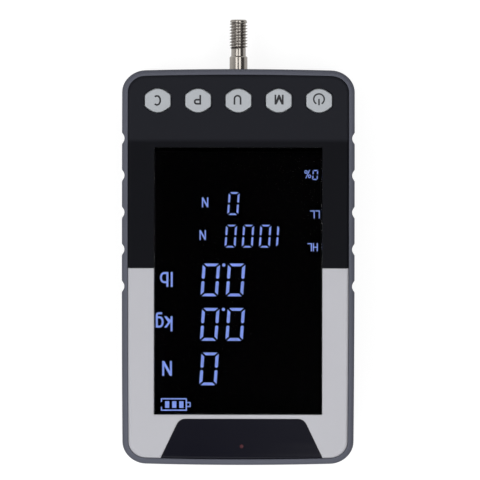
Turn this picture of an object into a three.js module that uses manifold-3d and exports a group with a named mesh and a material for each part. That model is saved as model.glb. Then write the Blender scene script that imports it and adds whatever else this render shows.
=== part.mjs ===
// Digital force gauge, lying on its back: +Z is out of the display, +Y is along the measuring shaft.
// Lengths are millimetres. The origin is the middle of the back face.
import * as THREE from 'three';
import { mergeVertices } from 'three/addons/utils/BufferGeometryUtils.js';
import Module from 'manifold-3d';

// Clearances and overruns
const FIT = 0.1; // between moulded pieces that sit in one another
const RUN = 0.3; // round what turns, slides or is screwed in
const OVER = 1; // overrun of a cut
const JOIN = 0.5; // how far a post reaches into the wall that it grows from
const WELD = 0.0001; // vertices nearer than this are one

// What fills the depth, from the back face to the front face
const BACK_WALL = 2.4;
const CHASSIS_SHEET = 2;
const CELL_UNDERSPACE = 6.6;
const CELL_THICK = 12;
const CELL_HEADROOM = 1;
const BOARD_THICK = 1.6;
const BACKLIGHT_THICK = 3.1;
const LCD_THICK = 2.2;
const GASKET_THICK = 0.5;
const FACE_WALL = 2.6;

// Outline of the case
const CASE_WIDTH = 77;
const CASE_LENGTH = 131;
const CASE_CORNER = 7.7;
const END_CROWN = 0.65; // how far an end bows out at its middle
const FOOT_TAPER = 0.35; // how far each side draws in at the foot
const SIDE_WALL = 2;
const BACK_EDGE = 2; // rounding of the rear cover
const PANEL_EDGE = 0.9; // rounding of the front face
const SLOPE_LENGTH = 23.9; // the key area, from the case end to its bend
const SLOPE_DROP = 1.2; // how far the face has fallen at the case end

// Grip band round the case
const BAND_WALL = 1.9;
const BAND_BACK = 4; // height of its rear edge over the back face
const BAND_STEP = 0.5; // how far its front edge lies under the front face
const BAND_ROUND = 1.7;
const BAND_BACK_ROUND = 0.8;
const NOTCH_COUNT = 5;
const NOTCH_RADIUS = 2.2;
const NOTCH_DEPTH = 0.85;
const NOTCH_PITCH = 12.23;
const NOTCH_END_MARGIN = 23; // first notch, from the shaft end

// Display
const WINDOW_SIDE_MARGIN = 10.7;
const WINDOW_KEY_GAP = 15.45; // from the middle of the keys
const WINDOW_PLATE_GAP = 1.5; // from the dark plate
const WINDOW_THICK = 1;
const WINDOW_RECESS = 0.15;
const WINDOW_LEDGE = 1.5; // under the window's upper end
const WINDOW_LOW_LEDGE = 0.5; // under its sides and foot, where the display reaches further
const GASKET_WIDTH = 0.8;
const LCD_MARGIN = 0.9; // how far the glass passes the opening
const LCD_TAIL = 2; // its extra length where the flat cable leaves it
const BACKLIGHT_INSET = 0.2;
const FLEX_WIDTH = 30;
const FLEX_THICK = 0.3;
const FLEX_OUT = 2.4; // from the glass to the bend
const FLEX_FOOT = 2.5;

// Silver trim and dark plate on the front
const FASCIA_THICK = 1;
const FASCIA_TOP = -0.3; // its upper edge, from the middle of the case
const PLATE_OFFSET = 1.2;
const PLATE_TOP_MARGIN = 15.2;
const PLATE_TOP_HALF = 20.5;
const PLATE_FOOT_HALF = 27.8;
const PLATE_CORNER = 3;
const PIPE_RADIUS = 0.9;
const PIPE_WALL_GAP = 0.4; // from its flange to the inner wall
const PIPE_FLANGE_RADIUS = 1.8;
const PIPE_FLANGE_THICK = 0.8;
const LED_WIDTH = 3.2;
const LED_LENGTH = 1.6;
const LED_HEIGHT = 0.9;

// Keys and their switches
const KEY_NAMES = ['clear', 'peak', 'unit', 'mode', 'power'];
const KEY_SIDE_GAP = 2.7; // from an outer key's flange to the inner wall
const KEY_WALL_GAP = 0.8; // from a key's flange to the inner wall, were its point not rounded
const KEY_GAP = 4.9; // between two keys
const KEY_SIDE = 3.8; // upright edge at each side of a key
const KEY_POINT = 4.8; // half height over the unrounded points
const KEY_POINT_ROUND = 4.4;
const KEY_SIDE_ROUND = 1;
const KEY_PROUD = 0.6;
const KEY_EDGE = 0.45;
const KEY_FLANGE = 0.9;
const KEY_FLANGE_THICK = 1;
const KEY_TRAVEL = 0.6;
const SWITCH_SIZE = 6;
const SWITCH_CLEARANCE = 0.4; // left over a switch when its key is down
const SWITCH_WELL = 1.7;
const PLUNGER_RADIUS = 1.6;

// Measuring shaft
const SHAFT_RADIUS = 3;
const SHAFT_REACH = 16.8; // beyond the case end
const SHAFT_HOLD = 9; // inside the load cell
const SHAFT_BEVEL = 0.4;
const THREAD_LENGTH = 9.7;
const THREAD_PITCH = 1;
const THREAD_ROOT = 2.46;
const THREAD_ROOT_HALF = 0.06;
const THREAD_CREST_HALF = 0.42; // half of a groove's width at the shaft's own radius
const THREAD_CLEAR = 0.1;
const TIP_BEVEL = 0.55;
const RELIEF_LENGTH = 2.4;
const RELIEF_RADIUS = 2.45;
const PORT_GAP = 0.8; // round the shaft where it leaves the case
const SEAL_RADIUS = 6;
const SEAL_THICK = 2.5;
const NUT_FLATS = 10;
const NUT_HEIGHT = 5;
const NUT_HEADROOM = 3; // between the nut and the seal

// Load cell, the chassis that holds it and the threaded inserts in the back
const CELL_SIDE_ROOM = 17.5; // free strip at each side of the load cell, to the inner wall
const CELL_LENGTH = 42;
const CELL_ARM = 11;
const CELL_WEB = 7;
const CELL_SLOT = 2;
const CELL_BORE_SPARE = 1; // depth of a bore beyond what is screwed into it
const CELL_EYE_WALL = 2.5; // between the eye and a slot
const TAB_WIDTH = 24;
const TAB_THICK = 4;
const BOLT_RADIUS = 2.9;
const BOLT_REACH = 9;
const BOLT_HEAD_RADIUS = 5;
const BOLT_HEAD = 6;
const BOLT_SOCKET_RADIUS = 2.9;
const BOLT_SOCKET = 3;
const CHASSIS_SIDE_GAP = 2.5;
const CHASSIS_POST_GAP = 2;
const MOUNT_SIDE_MARGIN = 12.5;
const MOUNT_END_MARGIN = 35.5;
const INSERT_RADIUS = 3.8;
const INSERT_BORE = 2.1;
const INSERT_FLANGE_RADIUS = 5;
const INSERT_FLANGE = 2;

// Screw posts and screws
const POST_RADIUS = 3.6;
const POST_MARGIN = 3; // post's middle, from the inner wall
const POST_GLASS_GAP = 0.4; // upper posts, from the display's glass
const SCREW_RADIUS = 1.5;
const SCREW_HEAD_RADIUS = 2.5;
const SCREW_HEAD = 2;
const SCREW_SUNK = 8;
const SCREW_LENGTH = 14;
const BOARD_POST_RADIUS = 2.3;
const BOARD_POST_GLASS_GAP = 0.4;
const BOARD_POST_DROP = 12.9; // upper board posts, below the upper screw posts
const BOARD_POST_FOOT_MARGIN = 19.5;
const BOARD_SCREW_RADIUS = 1;
const BOARD_SCREW_HEAD_RADIUS = 1.6;
const BOARD_SCREW_HEAD = 1.1;
const BOARD_SCREW_LENGTH = 5;

// Main board and what is on it
const BOARD_SIDE_GAP = 1.5;
const BOARD_END_GAP = 1;
const BOARD_CORNER = 3;
const SOCKET_WIDTH = 9;
const SOCKET_HEIGHT = 3.2;
const SOCKET_LENGTH = 7.3;
const SOCKET_WALL = 0.3;
const SOCKET_BACK_WALL = 1;
const SOCKET_TONGUE_HALF = 3.35;
const SOCKET_TONGUE = 0.7;
const SOCKET_TONGUE_SHORT = 0.9;
const SOCKET_FLAT = 0.1; // what its round ends fall short of a half circle
const SOCKET_PLUG_ROOM = 1.6; // round the socket, in the grip band
const CHIP_SIZE = 14;
const CHIP_THICK = 1.4;
const CHIP_BOLT_GAP = 13.4; // from the bolt head of the load cell
const SHIELD_GAP = 2; // from the load cell, and from the board's edge
const SHIELD_LENGTH = 16;
const SHIELD_THICK = 2.5;
const SHIELD_SCREW_GAP = 4.1; // from the head of the board screw above it
const BUZZER_RADIUS = 6;
const BUZZER_BORE = 1;
const BUZZER_BORE_DEPTH = 2;
const BUZZER_THICK = 5.4;
const BUZZER_SIDE_MARGIN = 16.5;
const BUZZER_FOOT_MARGIN = 35.5;
const CONNECTOR_WIDTH = 7.5;
const CONNECTOR_LENGTH = 6;
const CONNECTOR_HEIGHT = 5;
const CONNECTOR_SCREW_GAP = 5.1; // from the head of the board screw above the sensor's connector
const BATTERY_CONNECTOR_DROP = 7.4; // from the battery's upper end
const BATTERY_THICK = 11;
const BATTERY_CORNER = 3;
const BATTERY_MARGIN = 1; // between the chassis end and the battery
const BATTERY_SIDE_GAP = 3; // from the threaded inserts
const BATTERY_BOLT_GAP = 3;
const PAD_THICK = 1;
const PAD_INSET = 3;
const LEAD_RADIUS = 1.1;
const LEAD_REACH = 5; // straight pull of each end of a lead's curve
const BATTERY_LEAD_DOWN = 7; // where the lead leaves the battery, from its upper end

// Bare plate on the back
const LABEL_WIDTH = 42;
const LABEL_LENGTH = 20;
const LABEL_THICK = 0.3;
const LABEL_RECESS = 0.4;
const LABEL_CORNER = 1.5;
const LABEL_FOOT_MARGIN = 11.5;

// How finely round shapes are stepped
const THREAD_SIDES = 16;
const ROUND_SIDES = 20;
const SMALL_SIDES = 12;
const HEX_SIDES = 6;
const CORNER_STEPS = 5;
const END_STEPS = 3;
const EDGE_STEPS = 3;
const PLATE_STEPS = 4;
const KEY_STEPS = 3;
const LEAD_SIDES = 8;
const LEAD_STEPS = 14;
const SIDE_STATION_shares = [-0.66, -0.33, 0, 0.33];

// Heights that follow from the stack
const CHASSIS_TOP = BACK_WALL + CHASSIS_SHEET;
const CELL_BACK = CHASSIS_TOP + CELL_UNDERSPACE;
const SHAFT_Z = CELL_BACK + CELL_THICK / 2;
const CELL_FRONT = CELL_BACK + CELL_THICK;
const BOARD_BACK = CELL_FRONT + CELL_HEADROOM;
const BOARD_FRONT = BOARD_BACK + BOARD_THICK;
const LCD_BACK = BOARD_FRONT + BACKLIGHT_THICK;
const LCD_FRONT = LCD_BACK + LCD_THICK;
const FACE_INNER = LCD_FRONT + GASKET_THICK;
const FRONT = FACE_INNER + FACE_WALL;
const PARTING = SHAFT_Z; // the two covers meet at the shaft's axis
const FASCIA_FLOOR = FRONT - FASCIA_THICK;

// Places that follow from the outline
const HALF_WIDTH = CASE_WIDTH / 2;
const HALF_LENGTH = CASE_LENGTH / 2;
const COVER_INSET = BAND_WALL + FIT;
const ROOM_INSET = COVER_INSET + SIDE_WALL;
const ROOM_HALF_WIDTH = HALF_WIDTH - ROOM_INSET;
const ROOM_HALF_LENGTH = HALF_LENGTH - ROOM_INSET;
const BEND_Y = HALF_LENGTH - SLOPE_LENGTH;
const KEY_ROW = 2 * (ROOM_HALF_WIDTH - KEY_SIDE_GAP - KEY_FLANGE);
const KEY_WIDTH = (KEY_ROW - (KEY_NAMES.length - 1) * KEY_GAP) / KEY_NAMES.length;
const KEY_PITCH = KEY_WIDTH + KEY_GAP;
const KEY_Y = ROOM_HALF_LENGTH - KEY_WALL_GAP - KEY_FLANGE - KEY_POINT;
const KEY_FLANGE_FRONT = FACE_INNER - RUN;
const KEY_FLANGE_BACK = KEY_FLANGE_FRONT - KEY_FLANGE_THICK;
const SWITCH_FRONT = KEY_FLANGE_BACK - KEY_TRAVEL - SWITCH_CLEARANCE;
const PLATE_TOP = PLATE_TOP_MARGIN - HALF_LENGTH;
const WINDOW_HALF = HALF_WIDTH - WINDOW_SIDE_MARGIN;
const WINDOW_TOP = KEY_Y - WINDOW_KEY_GAP;
const WINDOW_FOOT = PLATE_TOP + WINDOW_PLATE_GAP;
const WINDOW_FRONT = FRONT - WINDOW_RECESS;
const WINDOW_BACK = WINDOW_FRONT - WINDOW_THICK;
const OPENING_HALF = WINDOW_HALF - WINDOW_LOW_LEDGE;
const OPENING_TOP = WINDOW_TOP - WINDOW_LEDGE;
const OPENING_FOOT = WINDOW_FOOT + WINDOW_LOW_LEDGE;
const LCD_HALF = OPENING_HALF + LCD_MARGIN;
const LCD_TOP = OPENING_TOP + LCD_MARGIN + LCD_TAIL;
const LCD_FOOT = OPENING_FOOT - LCD_MARGIN;
const PORT_RADIUS = SHAFT_RADIUS + PORT_GAP;
const SEAL_END = ROOM_HALF_LENGTH - RUN;
const SEAL_START = SEAL_END - SEAL_THICK;
const NUT_START = SEAL_START - NUT_HEADROOM - NUT_HEIGHT;
const CELL_HALF = ROOM_HALF_WIDTH - CELL_SIDE_ROOM;
const CELL_END = NUT_START - RUN;
const CELL_START = CELL_END - CELL_LENGTH;
const TAB_START = CELL_START - TAB_THICK;
const BOLT_START = TAB_START - BOLT_HEAD;
const BOLT_BORE = BOLT_RADIUS + RUN;
const SHAFT_TIP = HALF_LENGTH + SHAFT_REACH;
const THREAD_START = SHAFT_TIP - THREAD_LENGTH;
const COLLAR_END = THREAD_START - RELIEF_LENGTH;
const POST_X = ROOM_HALF_WIDTH - POST_MARGIN;
const POST_TOP_Y = LCD_TOP + POST_GLASS_GAP + POST_RADIUS;
const POST_FOOT_Y = POST_MARGIN - ROOM_HALF_LENGTH;
const BOARD_POST_X = LCD_HALF + BOARD_POST_GLASS_GAP + BOARD_POST_RADIUS;
const BOARD_POST_TOP_Y = POST_TOP_Y - BOARD_POST_DROP;
const BOARD_POST_FOOT_Y = BOARD_POST_FOOT_MARGIN - HALF_LENGTH;
const MOUNT_X = HALF_WIDTH - MOUNT_SIDE_MARGIN;
const MOUNT_Y = HALF_LENGTH - MOUNT_END_MARGIN;
const INSERT_TOP = CHASSIS_TOP + INSERT_FLANGE;
const CHASSIS_FOOT = POST_FOOT_Y + POST_RADIUS + CHASSIS_POST_GAP;
const CHASSIS_HEAD = POST_TOP_Y - POST_RADIUS - CHASSIS_POST_GAP;
const BATTERY_HALF = MOUNT_X - INSERT_FLANGE_RADIUS - BATTERY_SIDE_GAP;
const BATTERY_FOOT = CHASSIS_FOOT + BATTERY_MARGIN;
const BATTERY_HEAD = BOLT_START - BATTERY_BOLT_GAP;
const BATTERY_BACK = CHASSIS_TOP + PAD_THICK;
const BATTERY_FRONT = BATTERY_BACK + BATTERY_THICK;
const BOARD_HALF = ROOM_HALF_WIDTH - BOARD_SIDE_GAP;
const BOARD_HALF_LENGTH = ROOM_HALF_LENGTH - BOARD_END_GAP;
const PIPE_Y = PIPE_FLANGE_RADIUS + PIPE_WALL_GAP - ROOM_HALF_LENGTH;
const SOCKET_END = SOCKET_LENGTH - HALF_LENGTH + COVER_INSET;
const SOCKET_START = SOCKET_END - SOCKET_LENGTH;
const SOCKET_Z = BOARD_BACK - SOCKET_HEIGHT / 2;
const SIDE_STRIP = BOARD_HALF - CELL_HALF; // of the board, beside the load cell
const SIDE_STRIP_X = CELL_HALF + SIDE_STRIP / 2;
const SHIELD_WIDTH = SIDE_STRIP - 2 * SHIELD_GAP;
const BOARD_SCREW_EDGE = BOARD_POST_TOP_Y - BOARD_SCREW_HEAD_RADIUS;
const SHIELD_Y = BOARD_SCREW_EDGE - SHIELD_SCREW_GAP - SHIELD_LENGTH / 2;
const CHIP_Y = BOLT_START - CHIP_BOLT_GAP - CHIP_SIZE / 2;
const CONNECTOR_BACK = BOARD_BACK - CONNECTOR_HEIGHT;
const SENSOR_CONNECTOR_Y = BOARD_SCREW_EDGE - CONNECTOR_SCREW_GAP - CONNECTOR_LENGTH / 2;
const BATTERY_CONNECTOR_Y = BATTERY_HEAD - BATTERY_CONNECTOR_DROP;

const wasm = await Module();
wasm.setup();

// Height of the front face, which falls away under the keys
function faceHeight(y) {
  return FRONT - (Math.max(0, y - BEND_Y) * SLOPE_DROP) / SLOPE_LENGTH;
}

// A closed geometry as a solid that can be cut and joined
function solid(geometry) {
  const bare = new THREE.BufferGeometry();
  bare.setAttribute('position', geometry.attributes.position);
  bare.setIndex(geometry.index);
  const merged = mergeVertices(bare, WELD);
  const corners = merged.index.array;
  const kept = [];
  for (let i = 0; i < corners.length; i += 3) {
    const [a, b, c] = corners.slice(i, i + 3);
    if (a !== b && b !== c && c !== a) kept.push(a, b, c);
  }
  const triVerts = new Uint32Array(kept);
  const vertProperties = merged.attributes.position.array;
  return new wasm.Manifold(new wasm.Mesh({ numProp: 3, vertProperties, triVerts }));
}

// A solid as a geometry for a mesh
function geometryOf(body) {
  const { vertProperties, triVerts } = body.getMesh();
  const indexed = new THREE.BufferGeometry();
  indexed.setAttribute('position', new THREE.BufferAttribute(vertProperties, 3));
  indexed.setIndex(new THREE.BufferAttribute(triVerts, 1));
  const geometry = indexed.toNonIndexed();
  geometry.computeVertexNormals();
  return geometry;
}

const cut = (body, ...tools) => tools.reduce((left, tool) => left.subtract(tool), body);
const fuse = (body, ...more) => more.reduce((whole, one) => whole.add(one), body);

function block([west, east], [south, north], [low, high]) {
  const box = new THREE.BoxGeometry(east - west, north - south, high - low);
  return solid(box.translate((west + east) / 2, (south + north) / 2, (low + high) / 2));
}

// Upright round rod
function rod(radius, [low, high], [x, y], sides = SMALL_SIDES) {
  const round = new THREE.CylinderGeometry(radius, radius, high - low, sides);
  return solid(round.rotateX(Math.PI / 2).translate(x, y, (low + high) / 2));
}

// Round or hexagonal rod along the shaft's direction
function lyingRod(radius, [start, end], [x, z], sides = ROUND_SIDES) {
  const round = new THREE.CylinderGeometry(radius, radius, end - start, sides);
  return solid(round.rotateY(Math.PI / sides).translate(x, (start + end) / 2, z));
}

const outlinePoints = (points) => points.map(([x, y]) => new THREE.Vector2(x, y));
const outlineShape = (points) => new THREE.Shape(outlinePoints(points));

// Outline drawn in X and Y, raised from low to high
function upright(points, [low, high]) {
  const plate = new THREE.ExtrudeGeometry(outlineShape(points), { depth: high - low, bevelEnabled: false });
  return solid(plate.translate(0, 0, low));
}

// Outline drawn in X and Z, drawn out along Y
function lengthwise(points, [start, end]) {
  const bar = new THREE.ExtrudeGeometry(outlineShape(points), { depth: end - start, bevelEnabled: false });
  return solid(bar.rotateX(Math.PI / 2).translate(0, end, 0));
}

// Outline drawn in Y and Z, drawn out along X to both sides of the middle
function crosswise(points, halfWidth) {
  const bar = new THREE.ExtrudeGeometry(outlineShape(points), { depth: 2 * halfWidth, bevelEnabled: false });
  return solid(bar.rotateX(Math.PI / 2).rotateZ(Math.PI / 2).translate(-halfWidth, 0, 0));
}

// Profile of radius and height turned about an upright axis
function turned(profile, sides = SMALL_SIDES) {
  const lathe = new THREE.LatheGeometry(outlinePoints(profile), sides);
  return solid(lathe.rotateX(Math.PI / 2));
}

function rectangle([west, east], [south, north]) {
  return [
    [west, south],
    [east, south],
    [east, north],
    [west, north],
  ];
}

// Directions from a corner of an outline to its two neighbours, and half the angle between them
function cornerOf(corners, i) {
  const next = (i + 1) % corners.length;
  const [before, point, after] = outlinePoints([corners.at(i - 1), corners[i], corners[next]]);
  before.sub(point).normalize();
  after.sub(point).normalize();
  const inwards = before.clone().add(after).normalize();
  return { before, point, inwards, half: before.angleTo(after) / 2 };
}

// A convex outline with each corner rounded to its own radius
function rounded(corners, radii, steps) {
  const arcs = corners.map((_, i) => {
    const { before, point, inwards, half } = cornerOf(corners, i);
    if (!radii[i]) return [point.toArray()];
    const centre = point.clone().addScaledVector(inwards, radii[i] / Math.sin(half));
    const start = point.clone().addScaledVector(before, radii[i] / Math.tan(half));
    return Array.from({ length: steps + 1 }, (_gap, k) =>
      start.clone().rotateAround(centre, ((Math.PI - 2 * half) * k) / steps).toArray());
  });
  return arcs.flat();
}

// A convex outline moved outwards all round
function grown(corners, by) {
  return corners.map((_, i) => {
    const { point, inwards, half } = cornerOf(corners, i);
    return point.addScaledVector(inwards, -by / Math.sin(half)).toArray();
  });
}

function roundedBox([west, east], [south, north], corner, steps = PLATE_STEPS) {
  return rounded(rectangle([west, east], [south, north]), [corner, corner, corner, corner], steps);
}

// Solid between rings of points that lie over one another, each ring symmetric about its first point
function stacked(rings) {
  const count = rings[0].length;
  const faces = [];
  for (let k = 0; k + 1 < rings.length; k += 1) {
    for (let i = 0; i < count; i += 1) {
      const low = k * count + i;
      const next = k * count + ((i + 1) % count);
      faces.push(low, next, next + count, low, next + count, low + count);
    }
  }
  const top = (rings.length - 1) * count;
  for (let i = 0; i + 1 < count - i; i += 1) {
    const [near, far] = [i + 1, count - i - 1];
    const across = (count - i) % count;
    faces.push(far, near, i, across, far, i);
    faces.push(top + i, top + near, top + far, top + i, top + far, top + across);
  }
  const geometry = new THREE.BufferGeometry();
  geometry.setAttribute('position', new THREE.Float32BufferAttribute(rings.flat(2), 3));
  geometry.setIndex(faces);
  return solid(geometry);
}

// Half of the case's outline, from the middle of its foot round the +X side to the middle of its shaft end
function caseFlank(inset) {
  const [halfWidth, halfLength] = [HALF_WIDTH - inset, HALF_LENGTH - inset];
  const corner = CASE_CORNER - inset;
  const [cornerX, cornerY] = [halfWidth - corner, halfLength - corner];
  const foot = [];
  for (let k = 0; k < END_STEPS; k += 1) foot.push([(cornerX * k) / END_STEPS, -halfLength]);
  for (let k = 0; k <= CORNER_STEPS; k += 1) {
    const turn = (Math.PI / 2) * (k / CORNER_STEPS);
    foot.push([cornerX + corner * Math.sin(turn), -cornerY - corner * Math.cos(turn)]);
  }
  const head = foot.map(([x, y]) => [x, -y]).reverse();
  const side = SIDE_STATION_shares.map((share) => [halfWidth, share * cornerY]);
  return [...foot, ...side, [halfWidth, BEND_Y], ...head].map(([x, y]) => {
    const round = Math.max(0, (Math.abs(y) - cornerY) / corner);
    const endBow = Math.sign(y) * END_CROWN * round * (x / HALF_WIDTH) ** 2;
    const drawnIn = FOOT_TAPER * (Math.min(y, 0) / HALF_LENGTH) ** 2;
    return [x - drawnIn * (x / HALF_WIDTH), y - endBow];
  });
}

// Ring of the case's outline: inset from the case's side, at a height, level or following the sloped face
function caseRing({ inset, height, sloped }) {
  const flank = caseFlank(inset);
  const mirrored = flank.slice(1, -1).reverse().map(([x, y]) => [-x, y]);
  return [...flank, ...mirrored].map(([x, y]) => [x, y, height + (sloped ? faceHeight(y) - FRONT : 0)]);
}

const caseSolid = (levels) => stacked(levels.map(caseRing));

// Levels of a quarter round edge that ends at the given inset and height
function roundEdge(inset, height, radius, { rising, sloped }) {
  const way = rising ? 1 : -1;
  const levels = Array.from({ length: EDGE_STEPS + 1 }, (_, k) => {
    const turn = (Math.PI / 2) * (k / EDGE_STEPS);
    const inwards = radius * (1 - Math.cos(turn));
    return { inset: inset + inwards, height: height - way * radius * (1 - Math.sin(turn)), sloped };
  });
  return rising ? levels : levels.reverse();
}

// Places that repeat: screw posts, board posts and back inserts
const POSTS = [[POST_X, POST_TOP_Y], [-POST_X, POST_TOP_Y], [POST_X, POST_FOOT_Y], [-POST_X, POST_FOOT_Y]];
const BOARD_POSTS = [
  [BOARD_POST_X, BOARD_POST_TOP_Y],
  [-BOARD_POST_X, BOARD_POST_TOP_Y],
  [BOARD_POST_X, BOARD_POST_FOOT_Y],
  [-BOARD_POST_X, BOARD_POST_FOOT_Y],
];
const INSERTS = [[MOUNT_X, MOUNT_Y], [-MOUNT_X, MOUNT_Y], [MOUNT_X, -MOUNT_Y], [-MOUNT_X, -MOUNT_Y]];
const keyX = (i) => (i - (KEY_NAMES.length - 1) / 2) * KEY_PITCH;

// Outline of a key, grown for its hole and its flange or shrunk for its top
function keyOutline(by) {
  const half = KEY_WIDTH / 2;
  const corners = [
    [0, -KEY_POINT],
    [half, -KEY_SIDE / 2],
    [half, KEY_SIDE / 2],
    [0, KEY_POINT],
    [-half, KEY_SIDE / 2],
    [-half, -KEY_SIDE / 2],
  ];
  const rise = KEY_POINT - KEY_SIDE / 2;
  const slantHolds = ((Math.hypot(half, rise) - KEY_SIDE_ROUND) * half) / rise;
  const [point, side] = [Math.min(KEY_POINT_ROUND, slantHolds) + by, KEY_SIDE_ROUND + by];
  return rounded(grown(corners, by), [point, side, side, point, side, side], KEY_STEPS);
}

// Outline of the socket's shell, grown for its holes
function socketOutline(by) {
  const [half, rise] = [SOCKET_WIDTH / 2 + by, SOCKET_HEIGHT / 2 + by];
  return roundedBox([-half, half], [SOCKET_Z - rise, SOCKET_Z + rise], rise - SOCKET_FLAT);
}

// Outline of the dark plate at the foot of the front, which runs out over the case's edge
function plateOutline(by) {
  const foot = -HALF_LENGTH - OVER;
  const flare = (PLATE_FOOT_HALF - PLATE_TOP_HALF) / PLATE_TOP_MARGIN;
  const footHalf = PLATE_FOOT_HALF + flare * OVER;
  const corners = [
    [PLATE_OFFSET - footHalf, foot],
    [PLATE_OFFSET + footHalf, foot],
    [PLATE_OFFSET + PLATE_TOP_HALF, PLATE_TOP],
    [PLATE_OFFSET - PLATE_TOP_HALF, PLATE_TOP],
  ];
  const corner = PLATE_CORNER + by;
  return rounded(grown(corners, by), [0, 0, corner, corner], PLATE_STEPS);
}

// The whole front face with its rounded edge, from which the cover, trim and plate are cut
function frontBody() {
  return caseSolid([
    { inset: COVER_INSET, height: PARTING, sloped: false },
    ...roundEdge(COVER_INSET, FRONT, PANEL_EDGE, { rising: true, sloped: true }),
  ]);
}

function windowPocket(gap) {
  const across = [-WINDOW_HALF + gap, WINDOW_HALF - gap];
  return [across, [WINDOW_FOOT + gap, WINDOW_TOP - gap]];
}

function gripBumper() {
  const outside = caseSolid([
    ...roundEdge(0, BAND_BACK, BAND_BACK_ROUND, { rising: false, sloped: false }),
    ...roundEdge(0, FRONT - BAND_STEP, BAND_ROUND, { rising: true, sloped: true }),
  ]);
  const inside = caseSolid([
    { inset: BAND_WALL, height: BAND_BACK - OVER, sloped: false },
    { inset: BAND_WALL, height: FRONT + OVER, sloped: false },
  ]);
  const notches = [];
  for (let i = 0; i < NOTCH_COUNT; i += 1) {
    const y = HALF_LENGTH - NOTCH_END_MARGIN - i * NOTCH_PITCH;
    const x = HALF_WIDTH + NOTCH_RADIUS - NOTCH_DEPTH;
    notches.push(rod(NOTCH_RADIUS, [0, FRONT], [x, y]), rod(NOTCH_RADIUS, [0, FRONT], [-x, y]));
  }
  const port = lyingRod(PORT_RADIUS, [0, HALF_LENGTH + OVER], [0, SHAFT_Z]);
  const mouth = lengthwise(socketOutline(SOCKET_PLUG_ROOM), [-HALF_LENGTH - OVER, 0]);
  return cut(outside, inside, port, mouth, ...notches);
}

function frontCover() {
  const room = caseSolid([
    { inset: ROOM_INSET, height: PARTING - OVER, sloped: false },
    { inset: ROOM_INSET, height: FACE_INNER, sloped: false },
  ]);
  const trimDepth = [FASCIA_FLOOR, FRONT + OVER];
  const trimRecess = block([-CASE_WIDTH, CASE_WIDTH], [-CASE_LENGTH, FASCIA_TOP], trimDepth);
  const pocket = block(...windowPocket(0), [WINDOW_BACK, FRONT + OVER]);
  const through = [FACE_INNER - OVER, FRONT + OVER];
  const opening = block([-OPENING_HALF, OPENING_HALF], [OPENING_FOOT, OPENING_TOP], through);
  const keyHole = upright(keyOutline(RUN), through);
  const keyHoles = KEY_NAMES.map((_, i) => keyHole.translate(keyX(i), KEY_Y, 0));
  const pipeHole = rod(PIPE_RADIUS + FIT, through, [PLATE_OFFSET, PIPE_Y]);
  const port = lyingRod(PORT_RADIUS, [0, HALF_LENGTH], [0, SHAFT_Z]);
  const mouth = lengthwise(socketOutline(RUN), [-HALF_LENGTH, -ROOM_HALF_LENGTH + OVER]);
  const shell = cut(frontBody(), room, trimRecess, pocket, opening, ...keyHoles, pipeHole, port, mouth);
  const posts = POSTS.map((place) => rod(POST_RADIUS, [PARTING, FACE_INNER + JOIN], place, ROUND_SIDES));
  const boardPost = [BOARD_FRONT, FACE_INNER + JOIN];
  const boardPosts = BOARD_POSTS.map((place) => rod(BOARD_POST_RADIUS, boardPost, place));
  const pilot = [PARTING - OVER, SCREW_SUNK + SCREW_LENGTH + OVER];
  const pilots = POSTS.map((place) => rod(SCREW_RADIUS + RUN, pilot, place));
  const boardPilot = [BOARD_FRONT - OVER, BOARD_BACK + BOARD_SCREW_LENGTH + RUN];
  const boardPilots = BOARD_POSTS.map((place) => rod(BOARD_SCREW_RADIUS + RUN, boardPilot, place));
  return cut(fuse(shell, ...posts, ...boardPosts), ...pilots, ...boardPilots);
}

function rearCover() {
  const outside = caseSolid([
    ...roundEdge(COVER_INSET, 0, BACK_EDGE, { rising: false, sloped: false }),
    { inset: COVER_INSET, height: PARTING, sloped: false },
  ]);
  const room = caseSolid([
    { inset: ROOM_INSET, height: BACK_WALL, sloped: false },
    { inset: ROOM_INSET, height: PARTING + OVER, sloped: false },
  ]);
  const port = lyingRod(PORT_RADIUS, [0, HALF_LENGTH], [0, SHAFT_Z]);
  const posts = POSTS.map((place) => rod(POST_RADIUS, [BACK_WALL - JOIN, PARTING], place, ROUND_SIDES));
  const sinks = POSTS.map((place) => rod(SCREW_HEAD_RADIUS + RUN, [-OVER, SCREW_SUNK], place));
  const holes = POSTS.map((place) => rod(SCREW_RADIUS + RUN, [0, PARTING + OVER], place));
  const inserts = INSERTS.map((place) => rod(INSERT_RADIUS + RUN, [-OVER, BACK_WALL + OVER], place));
  const label = upright(labelOutline(FIT), [-OVER, LABEL_RECESS]);
  return cut(fuse(cut(outside, room, port), ...posts), ...sinks, ...holes, ...inserts, label);
}

function labelOutline(by) {
  const half = LABEL_WIDTH / 2 + by;
  const foot = LABEL_FOOT_MARGIN - HALF_LENGTH;
  return roundedBox([-half, half], [foot - by, foot + LABEL_LENGTH + by], LABEL_CORNER + by);
}

// Trim and plate share the recess in the lower half of the front
function trimBlank() {
  const span = [-CASE_LENGTH, FASCIA_TOP - FIT];
  return frontBody().intersect(block([-CASE_WIDTH, CASE_WIDTH], span, [FASCIA_FLOOR, FRONT + OVER]));
}

function silverFascia() {
  const pocket = block(...windowPocket(0), [FASCIA_FLOOR - OVER, FRONT + OVER]);
  return cut(trimBlank(), pocket, upright(plateOutline(FIT), [FASCIA_FLOOR - OVER, FRONT + OVER]));
}

function nameplate() {
  const plate = trimBlank().intersect(upright(plateOutline(0), [FASCIA_FLOOR - OVER, FRONT + OVER]));
  return cut(plate, rod(PIPE_RADIUS + FIT, [0, FRONT + OVER], [PLATE_OFFSET, PIPE_Y]));
}

function displayWindow() {
  return block(...windowPocket(FIT), [WINDOW_BACK, WINDOW_FRONT]);
}

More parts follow.
